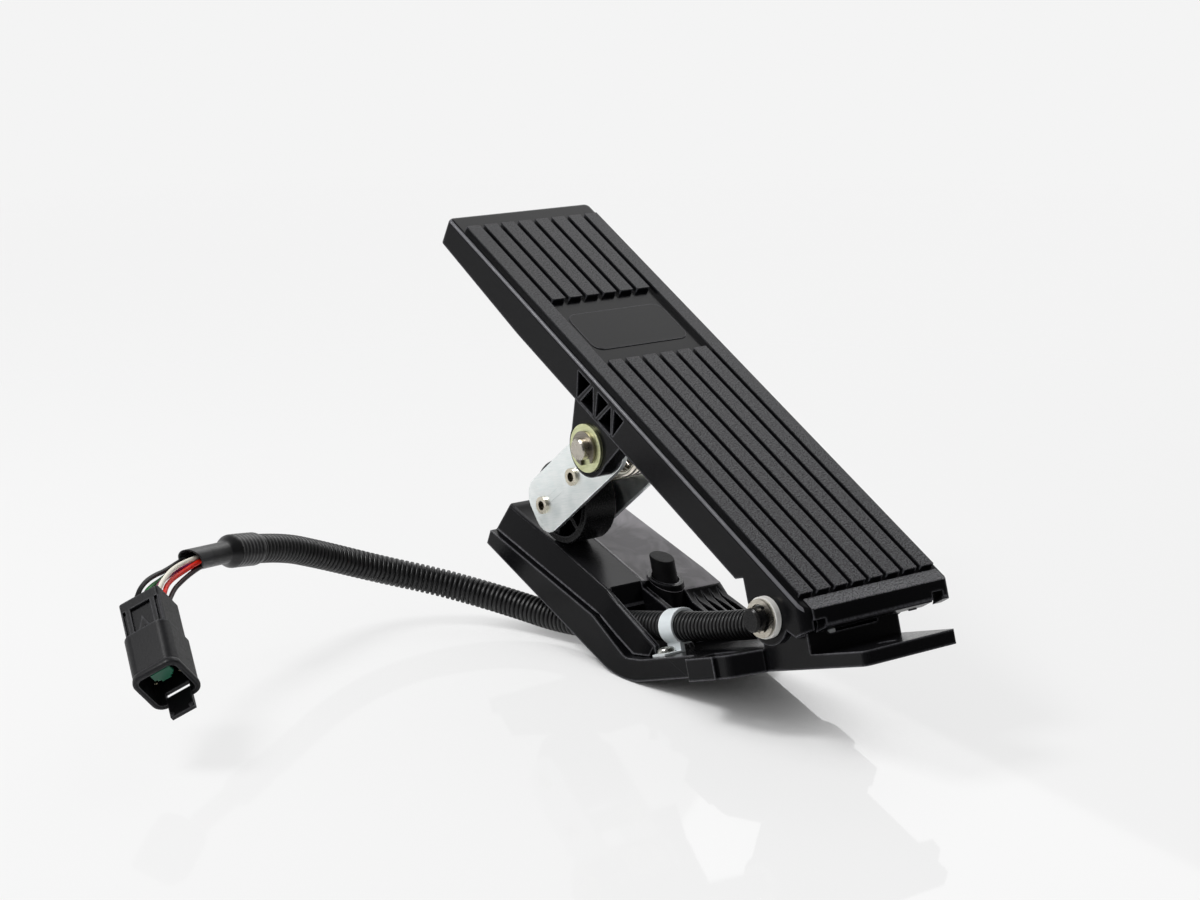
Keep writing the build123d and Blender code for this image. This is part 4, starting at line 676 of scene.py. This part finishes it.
for side in (-1, 1):
    dome = []
    for wide, high in PIP_DOME:
        turns = [2 * math.pi * step / 16 for step in range(16)]
        dome.append([in_connector(side * PIP_PLACE[0] + wide * math.cos(turn), PIP_PLACE[1] + high,
                                  PIP_PLACE[2] + wide * math.sin(turn)) for turn in turns])
    tongue_pips.append(skin_rings(f"connector_pip_{'left' if side < 0 else 'right'}", dome))
connector_trim = [lip_piece, hook_piece, *tongue_pips]
for piece in connector_trim:
    piece.data.materials.append(connector_nylon)
    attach(piece, "base")
hook_piece.data.shade_flat()
WEDGE_ENDS = ((1, -19.0), (1, -5.4), (0.94, -5.0))
wedge = skin_rings("wedge_lock_moulding", [[in_connector(x * part, y * part, z) for x, y in WEDGE]
                                           for part, z in WEDGE_ENDS])
wedge.data.shade_flat()
wedge.data.materials.append(wedge_plastic)
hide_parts("wedge_lock")
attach(wedge, "base")

# Wires
# Six thin-wall insulated copper wires fan out of the sleeve and turn down into the back of the connector, where each
# is crimped to a contact. The extruded insulation is smooth, with a soft, even gloss.

WIRE_DIAMETER = 2.1
WIRES = {
    "black": ("#1c1c1d", [(-177.7, 155.1, 89.7), (-188.5, 150.3, 88.0), (-201.0, 145.0, 84.3), (-210.5, 136.5, 83.4),
                          (-218.5, 130.5, 81.4), (-225.5, 125.0, 77.4), (-230.9, 120.5, 70.5)]),
    "white": ("#e6e1d3", [(-176.7, 153.3, 88.2), (-184.4, 148.6, 87.4), (-196.0, 142.1, 85.7), (-206.2, 133.5, 82.9),
                          (-216.3, 124.1, 77.6), (-223.0, 117.8, 70.5)]),
    "red": ("#cf1f0a", [(-175.8, 151.5, 86.7), (-183.4, 147.6, 85.6), (-194.1, 141.6, 82.8), (-204.2, 134.6, 80.4),
                        (-212.5, 126.2, 77.1), (-219.6, 116.2, 71.0)]),
    "green": ("#0a6a22", [(-178.5, 156.7, 87.3), (-189.5, 151.0, 86.0), (-205.0, 142.0, 81.0), (-215.0, 132.0, 79.3),
                          (-223.0, 124.5, 76.4), (-226.6, 121.0, 66.5)]),
    "purple": ("#7a2a55", [(-177.5, 154.9, 85.8), (-188.0, 149.0, 84.6), (-202.4, 141.0, 82.3), (-217.0, 126.0, 77.5),
                           (-222.7, 119.4, 68.3)]),
    "brown": ("#241312", [(-176.5, 153.0, 84.3), (-184.0, 148.2, 82.9), (-195.7, 139.9, 79.6), (-207.3, 131.7, 74.9),
                          (-218.9, 117.7, 66.1)]),
}
for colour, (code, route) in WIRES.items():
    wire_piece = smooth_line(f"wire_{colour}_insulation", route)
    wire_points = points_of(wire_piece)
    wire_piece.data.bevel_depth = WIRE_DIAMETER / 2 * MM
    wire_piece.data.bevel_resolution = 6
    wire_piece.data.use_fill_caps = True
    insulation = moulded_plastic(f"cross-linked insulation, {colour}", code, code, code,
                                 grain=0.8, relief=0.004, gloss=(0.3, 0.4), shine=0.1, cloud=6)
    wire_piece.data.materials.append(insulation)
    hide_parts(f"wire_{colour}")
    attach(wire_piece, "base")

# Floor, light and camera
# A glossy white table that the pedal stands on with the bend of its base, plain soft boxes, and the camera where
# the photograph was taken. The floor is seen only from above and fades out into the white backdrop.

FLOOR_UP = Vector((-0.0135, -0.3102, 0.9506)).normalized()
FLOOR_POINT = Vector((0, 73.7, 2.1)) * MM
CAMERA_PLACE = Vector((-713.469, -858.248, 90.888)) * MM
CAMERA_RIGHT = Vector((0.78982795, -0.58639895, -0.1797445))
CAMERA_UP = Vector((0.13856981, -0.11487494, 0.98366771))
CAMERA_BACK = Vector((-0.59746985, -0.80183541, -0.00947424))
BACKDROP = "#f4f4f4"
FLOOR_HALF = 3.0
SHADE_REACH = 0.07

floor_mesh = bpy.data.meshes.new("floor")
floor_corners = [(x * FLOOR_HALF, y * FLOOR_HALF, 0) for x, y in ((-1, -1), (1, -1), (1, 1), (-1, 1))]
floor_mesh.from_pydata(floor_corners, [], [(0, 1, 2, 3)])
floor = bpy.data.objects.new("floor", floor_mesh)
bpy.context.scene.collection.objects.link(floor)
floor.location = FLOOR_POINT
floor.rotation_mode = "QUATERNION"
floor.rotation_quaternion = FLOOR_UP.to_track_quat("Z", "Y")
# The lacquer is smooth enough to mirror the pedal faintly. The camera sees it as bright as the backdrop, and darker
# where the pedal shades it.
floor_paint, tree, shader = start_material("glossy white lacquer")
shader.inputs["Base Color"].default_value = srgb(BACKDROP)
shader.inputs["Roughness"].default_value = 0.04
lit = add_node(tree, "Emission", {"Color": srgb(BACKDROP)})
seen_straight = add_node(tree, "LightPath").outputs["Is Camera Ray"]
open_sky = add_node(tree, "AmbientOcclusion", {"Distance": SHADE_REACH}, samples=8).outputs["AO"]
share = add_node(tree, "MapRange", {"Value": open_sky, "From Min": 0.15, "From Max": 0.6, "To Max": 0.8}).outputs[0]
half_lit = add_node(tree, "Math", {0: seen_straight, 1: share}, operation="MULTIPLY")
table = add_node(tree, "MixShader", {0: half_lit.outputs[0], 1: shader.outputs[0], 2: lit.outputs[0]})
place = add_node(tree, "TexCoord").outputs["Object"]
away = add_node(tree, "VectorMath", {0: place}, operation="LENGTH")
fade = add_node(tree, "MapRange", {"Value": away.outputs["Value"], "From Min": 0.45, "From Max": 1.5})
below = add_node(tree, "NewGeometry").outputs["Backfacing"]
hidden = add_node(tree, "Math", {0: fade.outputs[0], 1: below}, operation="MAXIMUM")
clear = add_node(tree, "BsdfTransparent")
seen = add_node(tree, "MixShader", {0: hidden.outputs[0], 1: table.outputs[0], 2: clear.outputs[0]})
tree.links.new(seen.outputs[0], tree.nodes["Material Output"].inputs["Surface"])
floor_mesh.materials.append(floor_paint)

# Gloss mirrors the backdrop only behind the pedal; elsewhere it mirrors a dim room.
world = bpy.data.worlds.new("white studio")
bpy.context.scene.world = world
world.use_nodes = True
tree = world.node_tree
ambient = tree.nodes["Background"]
ambient.inputs["Color"].default_value = srgb("#ffffff")
ambient.inputs["Strength"].default_value = 0.4
shown = add_node(tree, "Background", {"Color": srgb(BACKDROP), "Strength": 1.0})
ray = add_node(tree, "LightPath")
direct = add_node(tree, "Math", {0: ray.outputs["Is Camera Ray"], 1: ray.outputs["Is Glossy Ray"]},
                  operation="MAXIMUM")
through = add_node(tree, "Math", {0: direct.outputs[0], 1: ray.outputs["Is Transmission Ray"]}, operation="MAXIMUM")
room = add_node(tree, "Background", {"Color": srgb(BACKDROP), "Strength": 0.12})
toward = add_node(tree, "TexCoord").outputs["Generated"]
facing = add_node(tree, "VectorMath", {0: toward, 1: CAMERA_BACK * -1}, operation="DOT_PRODUCT").outputs["Value"]
sweep = add_node(tree, "MapRange", {"Value": facing, "From Min": 0.3, "From Max": 0.65})
turned = add_node(tree, "Math", {0: 1.0, 1: sweep.outputs[0]}, operation="SUBTRACT").outputs[0]
away = add_node(tree, "Math", {0: turned, 1: ray.outputs["Is Glossy Ray"]}, operation="MULTIPLY").outputs[0]
backdrop = add_node(tree, "MixShader", {0: away, 1: shown.outputs[0], 2: room.outputs[0]})
sky = add_node(tree, "MixShader", {0: through.outputs[0], 1: ambient.outputs[0], 2: backdrop.outputs[0]})
tree.links.new(sky.outputs[0], tree.nodes["World Output"].inputs["Surface"])

LAMPS = {
    "overhead soft box": ((0.87, 0.3, 1.17), 1.0, 5),
    "rim soft box": ((-0.78, 0.0, 1.16), 0.36, 12),
    "left soft box": ((-1.2, 0.95, 0.5), 1.2, 3.2),
}
for name, (place, size, power) in LAMPS.items():
    lamp_data = bpy.data.lights.new(name, "AREA")
    lamp_data.size = size
    lamp_data.energy = power
    lamp = bpy.data.objects.new(name, lamp_data)
    bpy.context.scene.collection.objects.link(lamp)
    lamp.location = FLOOR_POINT + Vector(place)
    lamp.rotation_mode = "QUATERNION"
    lamp.rotation_quaternion = (FLOOR_POINT - lamp.location).to_track_quat("-Z", "Y")

camera_data = bpy.data.cameras.new("photograph")
camera_data.lens = 79.44
camera_data.sensor_width = 36
camera_data.clip_start = 0.01
camera = bpy.data.objects.new("photograph", camera_data)
bpy.context.scene.collection.objects.link(camera)
camera.matrix_world = Matrix.Translation(CAMERA_PLACE) @ Matrix(
    (CAMERA_RIGHT, CAMERA_UP, CAMERA_BACK)).transposed().to_4x4()
bpy.context.scene.camera = camera
bpy.context.scene.view_settings.view_transform = "Standard"
